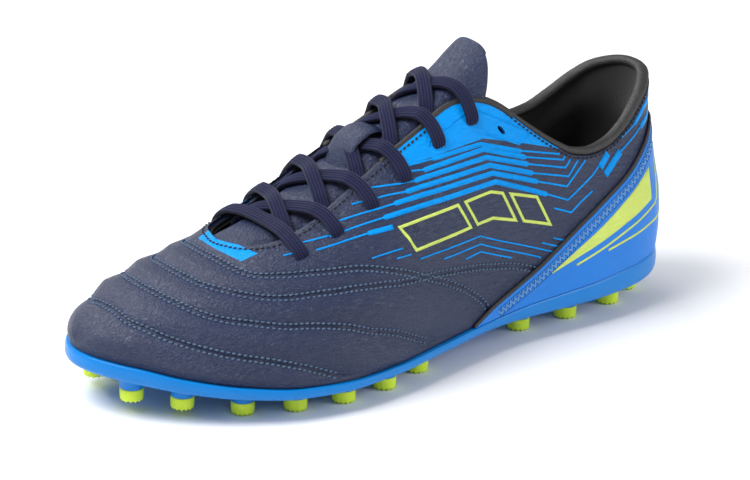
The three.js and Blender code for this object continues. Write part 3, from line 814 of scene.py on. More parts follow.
# %% Colours of the shoe
NAVY = colour(23, 37, 72)
BLUE_PRINT = colour(0, 150, 240)
BLUE_OVERLAY = colour(34, 124, 216)
BLUE_SOLE = colour(2, 126, 210)
BLACK = colour(17, 17, 19)
CHARCOAL = colour(38, 36, 38)
LIME = colour(226, 255, 66)
LIME_PRINT = colour(212, 230, 116)
CORD_NAVY = colour(26, 30, 62)
THREAD = colour(88, 114, 150)
THREAD_BLUE = colour(112, 176, 240)
# Deep blue spots under the heel zigzag: painted shade in its holes.
HOLE_SHADE_BLUE = colour(16, 66, 150)


# %% Leather, smooth or printed
PRINT_GLOSS = 0.1


def add_grain(tree, shader, strength):
    """Pebbled cells and short wrinkles, as bump; the gloss reads the fine noise and the wrinkles."""
    place = place_in_mm(tree)
    bend = node(tree, "ShaderNodeTexNoise", Vector=place, Scale=0.35, Detail=2.0).outputs["Color"]
    add = {"operation": "MULTIPLY_ADD"}
    pushed = node(tree, "ShaderNodeVectorMath", add, i0=bend, i1=(1.4,) * 3, i2=place).outputs[0]
    cells = node(tree, "ShaderNodeTexVoronoi", {"feature": "SMOOTH_F1"}, Vector=pushed, Scale=1.15)
    small = noise(tree, place, 2.6, 3.0, Roughness=0.6)
    slant = {"Rotation": (0.5, 0.2, 0.7), "Scale": (0.22, 0.75, 0.75)}
    slanted = node(tree, "ShaderNodeMapping", Vector=place, **slant).outputs[0]
    folds = noise(tree, slanted, 0.9, 4.0, Roughness=0.55, Distortion=0.8)
    ridge = calc(tree, "ABSOLUTE", calc(tree, "SUBTRACT", folds, 0.5))
    crease = calc(tree, "MINIMUM", calc(tree, "MULTIPLY", ridge, 9.0), 1.0)
    height = calc(tree, "MULTIPLY", cells.outputs["Distance"], -0.5)
    height = calc(tree, "MULTIPLY_ADD", small, 0.35, height)
    height = calc(tree, "MULTIPLY_ADD", crease, 0.45, height)
    add_bump(tree, shader, height, 0.8 * strength, 0.0005)
    return small, crease


def leather(name, base, rough=0.41, grain=1.0, zone=None, coat=0.03, gloss_level=0.48):
    """Grained leather. A zone is an attribute that is above zero where the leather is printed."""
    material, tree, shader = new_material(name)
    small, crease = add_grain(tree, shader, grain)
    broad = noise(tree, place_in_mm(tree), 0.03, 2.0)
    tone = blend_colours(tree, broad, shade(base, 0.86), shade(base, 1.16))
    set_shader(shader, Coat_Weight=coat, Coat_Roughness=0.35, Specular_IOR_Level=gloss_level)
    if zone:
        mark = node(tree, "ShaderNodeAttribute", {"attribute_name": zone}).outputs["Fac"]
        inside = node(tree, "ShaderNodeMapRange", Value=mark, From_Min=-0.08, From_Max=0.08).outputs[0]
        tone = blend_colours(tree, inside, tone, BLUE_PRINT)
        level = calc(tree, "MULTIPLY_ADD", inside, PRINT_GLOSS - gloss_level, gloss_level)
        tree.links.new(level, shader.inputs["Specular IOR Level"])
    tree.links.new(tone, shader.inputs["Base Color"])
    gloss = calc(tree, "MULTIPLY_ADD", small, 0.14, rough - 0.07)
    gloss = calc(tree, "MULTIPLY_ADD", crease, -0.03, gloss)
    tree.links.new(gloss, shader.inputs["Roughness"])
    return material


# %% Moulded plastic and rubber
def moulded(name, base, rough, coat=0.0):
    """Plastic with a faint orange-peel surface and a slight change of tone."""
    material, tree, shader = new_material(name)
    place = place_in_mm(tree)
    broad = noise(tree, place, 0.06, 1.0)
    fine = noise(tree, place, 1.6, 2.0)
    tree.links.new(blend_colours(tree, broad, shade(base, 0.88), base), shader.inputs["Base Color"])
    tree.links.new(calc(tree, "MULTIPLY_ADD", fine, 0.16, rough - 0.08), shader.inputs["Roughness"])
    add_bump(tree, shader, fine, 0.12, 0.0003)
    set_shader(shader, Coat_Weight=coat, Coat_Roughness=0.25, Specular_IOR_Level=0.3)
    return material


# %% Cloth, thread and cord
LACE_RIBS = 5
LACE_SQUARE = 0.8
YARN_PITCH = 0.95


def woven(name, base, per_mm):
    """A plain weave of fine threads in Object coordinates, with painted shade between the threads."""
    material, tree, shader = new_material(name)
    place = place_in_mm(tree)
    threads = [waves(tree, place, per_mm, way, Distortion=0.6) for way in "XZ"]
    weave = calc(tree, "MAXIMUM", *threads)
    # Darker between the threads: painted shade.
    tree.links.new(blend_colours(tree, weave, shade(base, 0.6), base), shader.inputs["Base Color"])
    add_bump(tree, shader, weave, 0.5, 0.0002)
    set_shader(shader, Roughness=0.9, Sheen_Weight=0.2, Sheen_Roughness=0.5)
    return material


def twisted_thread(name, base):
    """Thread: a fine slanting twist, with painted shade in its grooves."""
    material, tree, shader = new_material(name)
    twist = waves(tree, place_in_mm(tree), 1.4, "DIAGONAL")
    # Darker in the twist's grooves: painted shade.
    tree.links.new(blend_colours(tree, twist, shade(base, 0.45), base), shader.inputs["Base Color"])
    add_bump(tree, shader, twist, 0.5, 0.0001)
    set_shader(shader, Roughness=0.62)
    return material


def braided_cord(name, base):
    """A flat braid: slanting stitches that follow the cord's own length, in ribs. Its colour is painted
    shade in the grooves and painted highlight on the crowns.
    """
    material, tree, shader = new_material(name)
    sheet = node(tree, "ShaderNodeTexCoord").outputs["UV"]
    apart = node(tree, "ShaderNodeSeparateXYZ", Vector=sheet)
    along = calc(tree, "MULTIPLY", apart.outputs[0], SHEET)
    round_ = calc(tree, "MULTIPLY", apart.outputs[1], 20.0)
    slant = calc(tree, "MULTIPLY_ADD", calc(tree, "PINGPONG", round_, 1.0), 0.55, along)
    yarn = calc(tree, "SINE", calc(tree, "MULTIPLY", slant, 2 * math.pi / YARN_PITCH))
    yarn = calc(tree, "MULTIPLY_ADD", yarn, 0.5, 0.5)
    around = calc(tree, "COSINE", calc(tree, "MULTIPLY", apart.outputs[1], 2 * math.pi))
    across = calc(tree, "POWER", calc(tree, "ABSOLUTE", around), LACE_SQUARE)
    rib = calc(tree, "COSINE", calc(tree, "MULTIPLY", across, math.pi / 2 * LACE_RIBS))
    rib = calc(tree, "POWER", calc(tree, "ABSOLUTE", rib), 0.7)
    height = calc(tree, "MULTIPLY", calc(tree, "MULTIPLY_ADD", yarn, 0.45, 0.55), rib)
    # Painted shade in the grooves between ribs and yarns, painted highlight on their crowns.
    tone = blend_colours(tree, height, shade(base, 0.16), shade(base, 1.6))
    tree.links.new(tone, shader.inputs["Base Color"])
    add_bump(tree, shader, height, 0.8, 0.0003)
    set_shader(shader, Roughness=0.85, Specular_IOR_Level=0.2, Sheen_Weight=0.08)
    return material


navy_leather = leather("navy_leather", NAVY, zone="blue_zone")
tongue_leather = leather("tongue_leather", NAVY, rough=0.45)
film_finish = {"rough": 0.45, "coat": 0.0, "gloss_level": PRINT_GLOSS}
blue_print = leather("blue_print", BLUE_PRINT, **film_finish)
lime_print = leather("lime_print", LIME_PRINT, **film_finish)
blue_overlay = leather("blue_overlay", BLUE_OVERLAY, rough=0.42, grain=0.45, gloss_level=0.2)
black_leather = leather("black_leather", CHARCOAL, rough=0.5, grain=0.6)
black_lining = woven("black_lining", BLACK, 1.1)
insole_cloth = woven("insole_cloth", BLACK, 0.8)
blue_sole = moulded("blue_sole", BLUE_SOLE, 0.36, coat=0.04)
lime_rubber = moulded("lime_rubber", LIME, 0.42)
navy_cord = braided_cord("navy_cord", CORD_NAVY)
seam_thread = twisted_thread("seam_thread", THREAD)
# Black thread for the throat and collar rows, and painted shade in the vamp's needle holes.
dark_thread_and_hole_shade = twisted_thread("dark_thread_and_hole_shade", BLACK)
blue_thread = twisted_thread("blue_thread", THREAD_BLUE)
deep_blue_hole_shade = twisted_thread("deep_blue_hole_shade", HOLE_SHADE_BLUE)
print("Materials:", len(bpy.data.materials))

# %% [markdown]
# The upper is one leather shell. Its columns run from the back of the heel to the toe and are
# closer at the foot of the throat. Its rows go down the outside, in under the sole's edge, up the
# inside and over the hem at the opening. Ahead of the throat the two halves meet on the crown.

# %% Where the upper's opening runs
ROLL_DIAMETER = 5.4
ROLL_FRONT_DIAMETER = 3.2
ROLL_FRONT = 0.36
ROLL_SLACK = 0.7
THROAT_TIP = THROAT[-1][0]
EDGE_BLEND = 45.0
BLENDS_FROM = (0.30, 0.34)
BLENDS_UNTIL = (0.47, 0.43)
THROAT_BEGINS = 0.33
ROLL_THINS = (0.15, ROLL_FRONT)
ROLL_SHOWS = 0.5
FOOT_FROM = 0.742
FOOT_COLUMNS = 26


def roll_diameter(share):
    return ROLL_DIAMETER + (ROLL_FRONT_DIAMETER - ROLL_DIAMETER) * ramp(share, *ROLL_THINS)


def roll_shown(share):
    """How much of the roll shows above the leather; the rest of it swells inward."""
    return roll_diameter(share) * ROLL_SHOWS


def throat_half(share, sign):
    half = throat_lateral(share) if sign > 0 else throat_medial(share)
    return np.where(share >= THROAT_TIP, 0.0, half) * BALL_WIDTH


def opening_side(turn, sign, lower=0.0, inset=0.0):
    """The side value of the opening's edge: the collar, then the throat, blended at their corner."""
    share = share_of(turn)
    seat = collar_z(share) - roll_shown(share) - ROLL_SLACK - lower
    collar = side_at_height(turn, seat)
    half = np.maximum(throat_half(share, sign) - inset, 0)
    throat = np.abs(side_at_width(turn, sign * half))
    both = np.log(np.exp(EDGE_BLEND * collar) + np.exp(EDGE_BLEND * throat)) / EDGE_BLEND
    near = ramp(share, *BLENDS_FROM) * ramp(share, *BLENDS_UNTIL)
    hard = np.maximum(collar, np.where(share > THROAT_BEGINS, throat, 0))
    return np.where(share >= THROAT_TIP, 0.0, hard + (both - hard) * near)


def throat_columns():
    """Turns that follow the round foot of the throat in even steps."""
    shares = np.linspace(FOOT_FROM, THROAT_TIP, 400)
    way = way_along(np.stack([shares * LENGTH, throat_half(shares, 1)], axis=1))
    return turn_of(np.interp(np.linspace(0, way[-1], FOOT_COLUMNS), way, shares))


def upper_turns(count):
    even = turn_at_run(np.linspace(0, RUN_TABLE[1][-1], count), 1)
    extra = throat_columns()
    even = even[(even < extra[0] - 0.001) | (even > extra[-1] + 0.001)]
    return np.sort(np.concatenate([even, extra]))


# %% The shell's rows on one side
RIM_ANGLES = (144, 108, 72, 36)


def first_closed(side_top):
    """The first column at which an opening's two edges meet on the crown, if they do."""
    met = np.nonzero(side_top < 1e-6)[0]
    return met[0] if len(met) else len(side_top)


def opening_way(turns, sign, edge, side):
    """Unit directions from an opening's edge into the opening."""
    way = unit(np.gradient(edge, axis=0))
    tip = first_closed(side)
    if tip < len(side):
        way[tip] = (0.0, -sign, 0.0)
    return unit(np.cross(skin_normal(turns, sign * side), way)) * sign


def half_shell(turns, sign, side_top, rows, inner_rows, outside, inside, push):
    """One side of a shell, as points[column, row]: down the outside, up the inside, over the rim."""
    parts = np.linspace(0, 1, rows)
    sides = side_top[:, None] + (1 - side_top[:, None]) * parts[None, :]
    outer = outside(turns[:, None], sign * sides)
    inner_parts = np.linspace(1, 0, inner_rows)
    inner_sides = side_top[:, None] + (1 - side_top[:, None]) * inner_parts[None, :]
    inner = inside(turns[:, None], sign * inner_sides)
    first = outer[:, 0]
    last = inner[:, -1]
    inward = opening_way(turns, sign, first, side_top)
    closed = np.arange(len(turns)) > first_closed(side_top)
    rim = []
    for angle in np.radians(RIM_ANGLES):
        part = (1 + math.cos(angle)) / 2
        swell = push * math.sin(angle) * ~closed[:, None]
        rim.append(first * part + last * (1 - part) + inward * swell)
    rings = np.concatenate([outer, inner, np.stack(rim, axis=1), outer[:, :1]], axis=1)
    return rings, sides


def crown_drop(points, side_top, rows, inner_rows):
    """Marks the rim's corners ahead of the throat, whose faces would lie inside the leather."""
    drop = np.zeros(points.shape[:2], bool)
    drop[first_closed(side_top):, rows + inner_rows - 1:] = True
    return drop


def close_toe(points, depth, rows, inner_rows):
    """Brings the inside of the last column to one point, just behind the toe."""
    points[-1, rows:rows + inner_rows] = skin(1.0, 0.0) - np.array([depth, 0, 0])


def merge_halves(name, halves):
    return seal(join(name, halves), 0.01)


# %% [markdown]
# The print on each side is a family of chevrons. A level says which chevron a place belongs to:
# it is the height on the flat sheet, raised behind the apex so that the arms fall to the heel. The
# blue zone round the top eyelets is bounded by one level, and blocks of outline follow two more.

# %% The chevrons' levels
APEX_RUN = 126.0
CORNER_RUN = 84.0
BACK_FALL = 0.37
CORNER_RISE = 1.37
ZONE_LEVEL = 76.2
ZONE_BACK = 84.0
ZONE_FRONT = 172.0
ZONE_FRONT_AT = 76.0
ZONE_FRONT_SLANT = 0.5


def level_above(run):
    """How much more a place's level is than its height."""
    behind = np.maximum(APEX_RUN - run, 0)
    corner = np.maximum(CORNER_RUN - run, 0)
    return BACK_FALL * behind - CORNER_RISE * corner


def blue_zone_mark(run, height):
    """How far a place on the flat sheet lies inside the blue zone round the top eyelets."""
    level = height + level_above(run)
    front = ZONE_FRONT - run - (height - ZONE_FRONT_AT) * ZONE_FRONT_SLANT
    return np.minimum(np.minimum(level - ZONE_LEVEL, run - ZONE_BACK), front)


PATCH_FRONT = 80.4
PATCH_BACK = 74.7
PATCH_MIDDLE = -2.0
PATCH_BEND = 0.008
PATCH_OUTER = 14.5
PATCH_INNER = -13.5
PATCH_SLANT = 0.35


def patch_mark(points):
    """How far a place lies inside the blue patch ahead of the throat, seen from above."""
    x = points[..., 0]
    across = points[..., 1] - PATCH_MIDDLE
    front = PATCH_FRONT - PATCH_BEND * across * across - x
    back = x - PATCH_BACK + PATCH_BEND * across * across
    outer = PATCH_OUTER - PATCH_MIDDLE + PATCH_SLANT * (PATCH_FRONT - x) - across
    inner = across + PATCH_MIDDLE - PATCH_INNER
    return np.minimum(np.minimum(front, back), np.minimum(outer, inner))


# %% The upper
UPPER_THICKNESS = 1.6
UPPER_COLUMNS = 350
UPPER_ROWS = 94
INNER_ROWS = 9
UPPER_PUSH = 0.8
NO_PRINT = -5.0


def on_sheet(turns, sides, sign):
    """The run and the height of a grid of places."""
    run = np.broadcast_to(run_at(turns, sign)[:, None], sides.shape)
    return run, height_up(turns[:, None], sign * sides)


def for_rings(values, rings):
    """A grid of values for the outside, with its first row again for each ring row that is left."""
    return np.concatenate([values, np.repeat(values[:, :1], rings - values.shape[1], axis=1)], axis=1)


def sheet_uv(run, height, sign, rings):
    """The flat sheet as a UV map; the outer side fills its upper half, the inner its lower."""
    return for_rings(np.stack([run / SHEET, 0.5 + sign * height / SHEET], axis=-1), rings)


def make_upper():
    turns = upper_turns(UPPER_COLUMNS)
    halves = []
    for sign in (1, -1):
        side_top = opening_side(turns, sign)
        points, sides = half_shell(
            turns, sign, side_top, UPPER_ROWS, INNER_ROWS, surface,
            lambda turn, side: offset_skin(turn, side, -UPPER_THICKNESS), UPPER_PUSH,
        )
        close_toe(points, UPPER_THICKNESS, UPPER_ROWS, INNER_ROWS)
        run, height = on_sheet(turns, sides, sign)
        rings = points.shape[1]
        uv = sheet_uv(run, height, sign, rings)
        zone = np.maximum(blue_zone_mark(run, height), patch_mark(points[:, :UPPER_ROWS]))
        zone = for_rings(zone, rings)
        zone[:, UPPER_ROWS:UPPER_ROWS + INNER_ROWS] = NO_PRINT
        drop = crown_drop(points, side_top, UPPER_ROWS, INNER_ROWS)
        halves.append(grid_piece(f"half_{sign}", points, uv, 0.01, {"blue_zone": zone}, drop))
    return merge_halves("upper_leather", halves)


upper = make_upper()

# %% [markdown]
# The eyelets are punched through the finished leather, as on the real shoe. A rounded cutter is
# modelled once, copied to each place and subtracted. A seventh, slanting slot is left unlaced.

# %% Eyelets
EYELETS = [
    # share of the length, share of the ball width from the crown
    (0.708, 0.315), (0.650, 0.315), (0.590, 0.305), (0.529, 0.285), (0.460, 0.245), (0.395, 0.225),
]
SLOT_PLACE = (0.346, 0.464)
EYELET_SIZE = (5.0, 2.6)
SLOT_SIZE = (4.6, 2.0)
SLOT_TURN = 62
PIN_LENGTH = 9.0
PIN_CORNERS = 24
PIN_STEP = 0.004


def cutter(turn, side, size, slope):
    """A slot-shaped pin through the leather, along the skin's normal."""
    normal = skin_normal(turn, side)
    along = unit(skin(turn + PIN_STEP, side) - skin(turn - PIN_STEP, side))
    across = np.cross(normal, along)
    angle = math.radians(slope)
    first = along * math.cos(angle) + across * math.sin(angle)
    second = np.cross(normal, first)
    centre = skin(turn, side)
    deselect()
    bpy.ops.mesh.primitive_cylinder_add(
        vertices=PIN_CORNERS, radius=0.5, depth=1, end_fill_type="NGON",
    )
    pin = bpy.context.object
    flat = np.array([v.co for v in pin.data.vertices])
    axes = np.stack([first * size[0], second * size[1], normal * PIN_LENGTH])
    place = centre + flat @ axes
    pin.data.vertices.foreach_set("co", ((place + FRAME_SHIFT) * MM).ravel())
    outside_zone = pin.data.attributes.new("blue_zone", "FLOAT", "POINT")
    outside_zone.data.foreach_set("value", np.full(len(pin.data.vertices), NO_PRINT, np.float32))
    return pin


def eyelet_place(index, sign):
    share, out = EYELETS[index]
    turn = float(turn_of(share))
    return turn, float(side_at_width(turn, sign * out * BALL_WIDTH))


def punch(piece):
    pins = []
    for sign in (1, -1):
        pins += [cutter(*eyelet_place(index, sign), EYELET_SIZE, 0) for index in range(len(EYELETS))]
        slot = float(turn_of(SLOT_PLACE[0])), sign * SLOT_PLACE[1]
        pins.append(cutter(*slot, SLOT_SIZE, -sign * SLOT_TURN))
    tool = join("punch", pins)
    edit(tool, lambda: bpy.ops.mesh.normals_make_consistent(inside=False))
    before = len(piece.data.polygons)
    apply_modifier(piece, "BOOLEAN", operation="DIFFERENCE", solver="EXACT", object=tool)
    bpy.data.objects.remove(tool)
    print("Faces before and after the punch:", before, len(piece.data.polygons))


punch(upper)
dress(upper, navy_leather, "upper_leather", "upper")

# %% [markdown]
# The prints are thin films that lie on the leather. A film is a ribbon through corners on the
# flat sheet, each with its own width, and its edges are mitred there. All are chosen for the
# outer side; the inner side carries the same print.

# %% Films
FILM_ABOVE = 0.16
FILM_SUNK = 0.4
FILM_STEP = 1.2
OPENING_ROOM = 0.006


def ribbon_edges(corners):
    """The two edges of a mitred ribbon through (run, height, width) corners."""
    corners = np.array(corners, float)
    middle = corners[:, :2]
    way = unit(np.diff(middle, axis=0))
    across = np.stack([-way[:, 1], way[:, 0]], axis=1)
    before = np.concatenate([across[:1], across])
    after = np.concatenate([across, across[-1:]])
    mitre = unit(before + after)
    mitre /= np.einsum("ij,ij->i", mitre, before)[:, None]
    half = corners[:, 2:] / 2
    return middle + mitre * half, middle - mitre * half


def clear_of_opening(places, sign):
    """Which places on the flat sheet lie on the leather, outside the collar and the throat."""
    turns, sides = from_sheet(places[:, 0], places[:, 1], sign)
    return np.abs(sides) > opening_side(turns, sign) + OPENING_ROOM


def film(name, edges, sign, lay, columns=3):
    """A thin closed strip between two edges on the flat sheet, raised a little off the piece below."""
    edges = [np.array(edge) for edge in edges]
    way = way_along((edges[0] + edges[1]) / 2)
    fine = np.unique(np.concatenate([np.linspace(0, way[-1], int(way[-1] / FILM_STEP) + 2), way]))
    left, right = [at_ways(fine, way, edge) for edge in edges]
    if lay is surface:  # on the leather, whatever would reach over the opening is left out
        kept = clear_of_opening(left, sign) & clear_of_opening(right, sign)
        left = left[kept]
        right = right[kept]
    if len(left) < 2:
        return None
    parts = [0.0, *np.linspace(0, 1, columns), 1.0, 0.0]
    heights = [-FILM_SUNK] + [FILM_ABOVE] * columns + [-FILM_SUNK, -FILM_SUNK]
    rows = []
    for part, above in zip(parts, heights):
        place = left * (1 - part) + right * part
        rows.append(lay(*from_sheet(place[:, 0], place[:, 1], sign), above))
    return grid_piece(name, closed_ends(np.stack(rows, axis=1)), merge=0.004)


def ribbons(name, routes, sign, lay=surface, columns=3):
    pieces = [film(f"{name}_part", ribbon_edges(route), sign, lay, columns) for route in routes]
    return join(name, [piece for piece in pieces if piece])


# %% The chevron print
CHEVRONS = [
    # corners from the front to the heel: run, height, width
    [(166.8, 76.3, .75), (154.5, 75.4, .75), (153.4, 75.3, 1.9), (128.1, 74.4, 1.9), (108.2, 66.0, 1.9),
     (107, 65.8, .75), (88.1, 59.9, .75), (85.3, 62.8, .75)],
    [(171.5, 75.0, .75), (160, 72.5, .75), (158.9, 72.2, 2.1), (126.9, 72.0, 2.1), (106.3, 63.0, 2.1),
     (105, 62.7, .75), (86.1, 57.0, .75), (82.5, 60.8, .75)],
    [(183.8, 73.4, .75), (172.4, 70.5, .75), (165.8, 69.6, .75), (164.7, 69.5, 2.1), (126.1, 68.4, 2.1),
     (105.2, 59.8, 2.1), (104, 59.5, .75), (85.3, 53.4, .75), (78.8, 59.5, .75)],
    [(193.6, 69.6, .75), (178.3, 67.8, .75), (171.5, 66.6, .75), (170.3, 66.5, 2.1), (124.9, 64.8, 2.1),
     (103.2, 55.5, 2.1), (102, 55.2, .75), (84.1, 49.4, .75), (74.7, 58.3, .75)],
    [(202.1, 64.8, .75), (178.3, 63.7, .75), (177.1, 63.6, 2.1), (123.8, 61.2, 2.1), (101.2, 51.5, 2.1),
     (100, 51.1, .75), (85.3, 45.4, .75), (69.6, 57.6, .75)],
    [(207.2, 59.7, .75), (184.9, 59.8, .75), (183.8, 59.7, 2.1), (122.7, 57.3, 2.1), (96.8, 45, 2.1),
     (95.6, 44.5, .75), (85.3, 39.5, .75), (71.0, 46.7, .75), (67.1, 49.5, .75)],
    [(214.3, 55.7, .75), (193.5, 55.6, .75), (192.4, 55.5, 2.1), (182, 55.1, 2.1)],
    [(93, 38.0, .75), (84.1, 33.8, .75), (78.0, 37.3, .75), (71.9, 40.0, .75)],
    [(221.3, 61.3, .7), (207.2, 60.2, .7)],
    [(226.1, 57.4, .7), (220.5, 57.2, .7)],
]
LOWER_LINES = [
    [(194.7, 45.7, .6), (186, 45.9, .6), (180, 45.7, .6)],
    [(94, 25.3, .6), (86.1, 21.8, .6)],
    [(183.8, 42.6, .6), (176, 42.2, .6)],
    [(100, 24.8, .6), (89.7, 20.1, .6)],
    [(171.5, 39.0, .6), (134.6, 37.8, .6), (92.5, 18.5, .6)],
    [(157.8, 35.0, .6), (134.6, 34.4, .6), (100.4, 18.5, .6)],
    [(144.4, 31.0, .6), (134.6, 31.2, .6), (116.4, 23.1, .6)],
]
HEEL_BARS = [
    [(66.3, 48.6, 3.4), (54.0, 59.2, 3.4)],
    [(54.6, 56.4, .75), (42.0, 60.2, .75)],
    [(42.2, 60.1, 2.2), (34.0, 64.6, 2.2), (12, 69.4, 2.2)],
    [(63.8, 44.6, 3.4), (53.4, 51.6, 3.4)],
    [(53.6, 51.5, .75), (37.1, 57.5, .75)],
    [(37.3, 57.4, 2.6), (22.0, 61.4, 2.6), (4, 63.0, 2.6)],
]

# Three slanting blocks of outline stand on the side. Each is a span of runs between two levels.
BLOCK_SPANS = [(176.0, 143.0), (138.5, 116.5), (112.0, 98.5)]
BLOCK_LEVELS = (54.0, 43.0)
BLOCK_LEAN = 3.0
BLOCK_LINE = 1.25


def block_route(front, back):
    """The outline of one block as a closed ribbon that starts in the middle of its front side."""
    high, low = BLOCK_LEVELS
    over = [run for run in (APEX_RUN,) if back < run < front]
    top = [front + BLOCK_LEAN, *over, back + BLOCK_LEAN]
    foot = [back - BLOCK_LEAN, *over, front - BLOCK_LEAN]
    corners = [(run, high - level_above(run)) for run in top]
    corners += [(run, low - level_above(run)) for run in foot]
    start = tuple((np.array(corners[-1]) + np.array(corners[0])) / 2)
    return [(*corner, BLOCK_LINE) for corner in [start, *corners, start]]


# A raised line frames the top eyelets inside the blue zone.
FRAME_LINE = [
    (154.0, 80.5, .8), (152.6, 82.6, .8), (131, 89.1, .8), (127.5, 89.4, .8), (103.2, 73.4, .8),
    (102.4, 71.4, .8), (108.2, 68.9, .8), (124, 77.6, .8),
]

for sign, name in ((1, "outer"), (-1, "inner")):
    prints = ribbons(f"{name}_print", CHEVRONS + LOWER_LINES + HEEL_BARS + [FRAME_LINE], sign)
    dress(prints, blue_print, "upper_leather")
    blocks = ribbons(f"{name}_blocks", [block_route(*span) for span in BLOCK_SPANS], sign)
    dress(blocks, lime_print, "upper_leather")

# %% [markdown]
# The lining is black cloth over foam. It fills the inside of the upper, swells round the ankle,
# and its bound edge shows as a dark rim along the throat.

# %% Lining
LINING_OUT = -1.7
LINING_IN = -2.7
LINING_STAND = 0.6
LINING_RIM = 1.3
THROAT_FOAM = 0.9
ANKLE_PAD = 4.2
LINING_ROWS = 12
LINING_INNER_ROWS = 46
LINING_PUSH = 1.5
PAD_BELOW = 0.22
PAD_SPREAD = 0.15
PAD_ENDS = (0.40, 0.30)
FOAM_SPREAD = 6.0
FOAM_BEGINS = (0.34, 0.38)


def lining_inside(turn, side):
    share = share_of(turn)
    z = skin(turn, side)[..., 2]
    below = (collar_z(share) - z) / COLLAR_HEIGHT
    swell = bell(below - PAD_BELOW, PAD_SPREAD) * ramp(share, *PAD_ENDS)
    edge = np.where(np.asarray(side) > 0, throat_lateral(share), throat_medial(share)) * BALL_WIDTH
    beyond = np.abs(skin(turn, side)[..., 1] - station(turn).crown) - edge
    foam = THROAT_FOAM * bell(np.maximum(beyond, 0), FOAM_SPREAD) * ramp(share, *FOAM_BEGINS)
    return offset_skin(turn, side, LINING_IN - ANKLE_PAD * swell - foam)


def make_lining():
    turns = upper_turns(150)
    halves = []
    for sign in (1, -1):
        side_top = opening_side(turns, sign, -LINING_STAND, LINING_RIM)
        points, _ = half_shell(
            turns, sign, side_top, LINING_ROWS, LINING_INNER_ROWS,
            lambda turn, side: offset_skin(turn, side, LINING_OUT), lining_inside, LINING_PUSH,
        )
        close_toe(points, -LINING_IN, LINING_ROWS, LINING_INNER_ROWS)
        points[-1, :LINING_ROWS] = skin(1.0, 0.0) + np.array([LINING_OUT, 0, 0])
        drop = crown_drop(points, side_top, LINING_ROWS, LINING_INNER_ROWS)
        halves.append(grid_piece(f"half_{sign}", points, None, 0.01, None, drop))
    return merge_halves("lining", halves)


lining = make_lining()
punch(lining)
dress(lining, black_lining, "lining")

# %% [markdown]
# The heel overlay is a second layer round the heel. Its edge falls from high on the heel to the
# sole at the waist, and a thin black cord fills the step along it.

# %% Heel overlay
COUNTER_GAP = 0.3
COUNTER_THICKNESS = 1.1
COUNTER_ROWS = 44
COUNTER_INNER_ROWS = 8
COUNTER_PUSH = 0.5
COUNTER_FRONT = 0.427
COUNTER_COLUMNS = 150
CORD_ABOVE = 0.55
CORD_OUT = 0.7
CORD_SIZE = (1.7, 1.5)


def counter_line(sign, above=0.0):
    """Turns from the heel to the overlay's front, and the sides along its upper edge."""
    front = float(run_at(turn_of(COUNTER_FRONT), sign))
    turns = turn_at_run(np.linspace(0, front, COUNTER_COLUMNS), sign)
    return turns, side_at_height(turns, counter_z(share_of(turns)) + above)


def counter_surface(turn, side, above=0.0):
    return offset_skin(turn, side, COUNTER_GAP + COUNTER_THICKNESS + above)


def make_counter():
    halves = []
    for sign in (1, -1):
        turns, side_top = counter_line(sign)
        points, sides = half_shell(
            turns, sign, side_top, COUNTER_ROWS, COUNTER_INNER_ROWS, counter_surface,
            lambda turn, side: offset_skin(turn, side, COUNTER_GAP), COUNTER_PUSH,
        )
        points[-1] = points[-1].mean(axis=0)
        uv = sheet_uv(*on_sheet(turns, sides, sign), sign, points.shape[1])
        halves.append(grid_piece(f"half_{sign}", points, uv))
    return merge_halves("heel_overlay", halves)


def both_sides(line):
    """A route over the outer side, round the heel and down the inner side, from one side's line."""
    outer = line(1)
    inner = line(-1)
    return np.concatenate([outer[::-1], inner[1:]])


def make_counter_cord():
    lines = {sign: counter_line(sign, CORD_ABOVE) for sign in (1, -1)}
    route = both_sides(lambda sign: offset_skin(lines[sign][0], sign * lines[sign][1], CORD_OUT))
    ups = both_sides(lambda sign: skin_normal(lines[sign][0], sign * lines[sign][1]))
    rings = sweep(route, ups, lambda i: oval(*CORD_SIZE, 10))
    return grid_piece("heel_overlay_cord", rings, ring_uv(rings))


dress(make_counter(), blue_overlay, "heel_overlay", "heel_counter")
dress(make_counter_cord(), black_leather, "lining")

# %% [markdown]
# The outsole is one moulded plate. Its ring of points goes down the band on the outer side,
# across the hollowed waist and up the inner side, and closes under the foot.

# %% Outsole
CLEARANCE = 0.3
SOLE_PROFILE = [
    # out from the feather edge in mm, share of the band's height from the top
    (-4.0, 0.0), (0.2, 0.0), (1.1, 0.01), (1.45, 0.06), (1.6, 0.16), (1.85, 0.34), (1.9, 0.5),
    (1.75, 0.66), (1.3, 0.8), (0.5, 0.91), (-0.7, 0.975), (-2.2, 1.0),
]
WAIST_AT = 0.42
WAIST_LONG = 0.07
WAIST_DEEP = 2.2
SOLE_COLUMNS = 230
SOLE_BELLY = 0.4
STUD_TIP_HEIGHT = 5.4
STUDS = 24
POST_PROFILE = [
    # radius in mm, share of the way from the tip to the plate
    (4.78, 0.0), (4.78, 0.12), (4.9, 0.3), (5.3, 0.52), (6.0, 0.72), (7.1, 0.9), (8.0, 1.0),
]
POST_SINK = 1.2
POST_GAP = 0.05
SHARP_ANGLE = 38


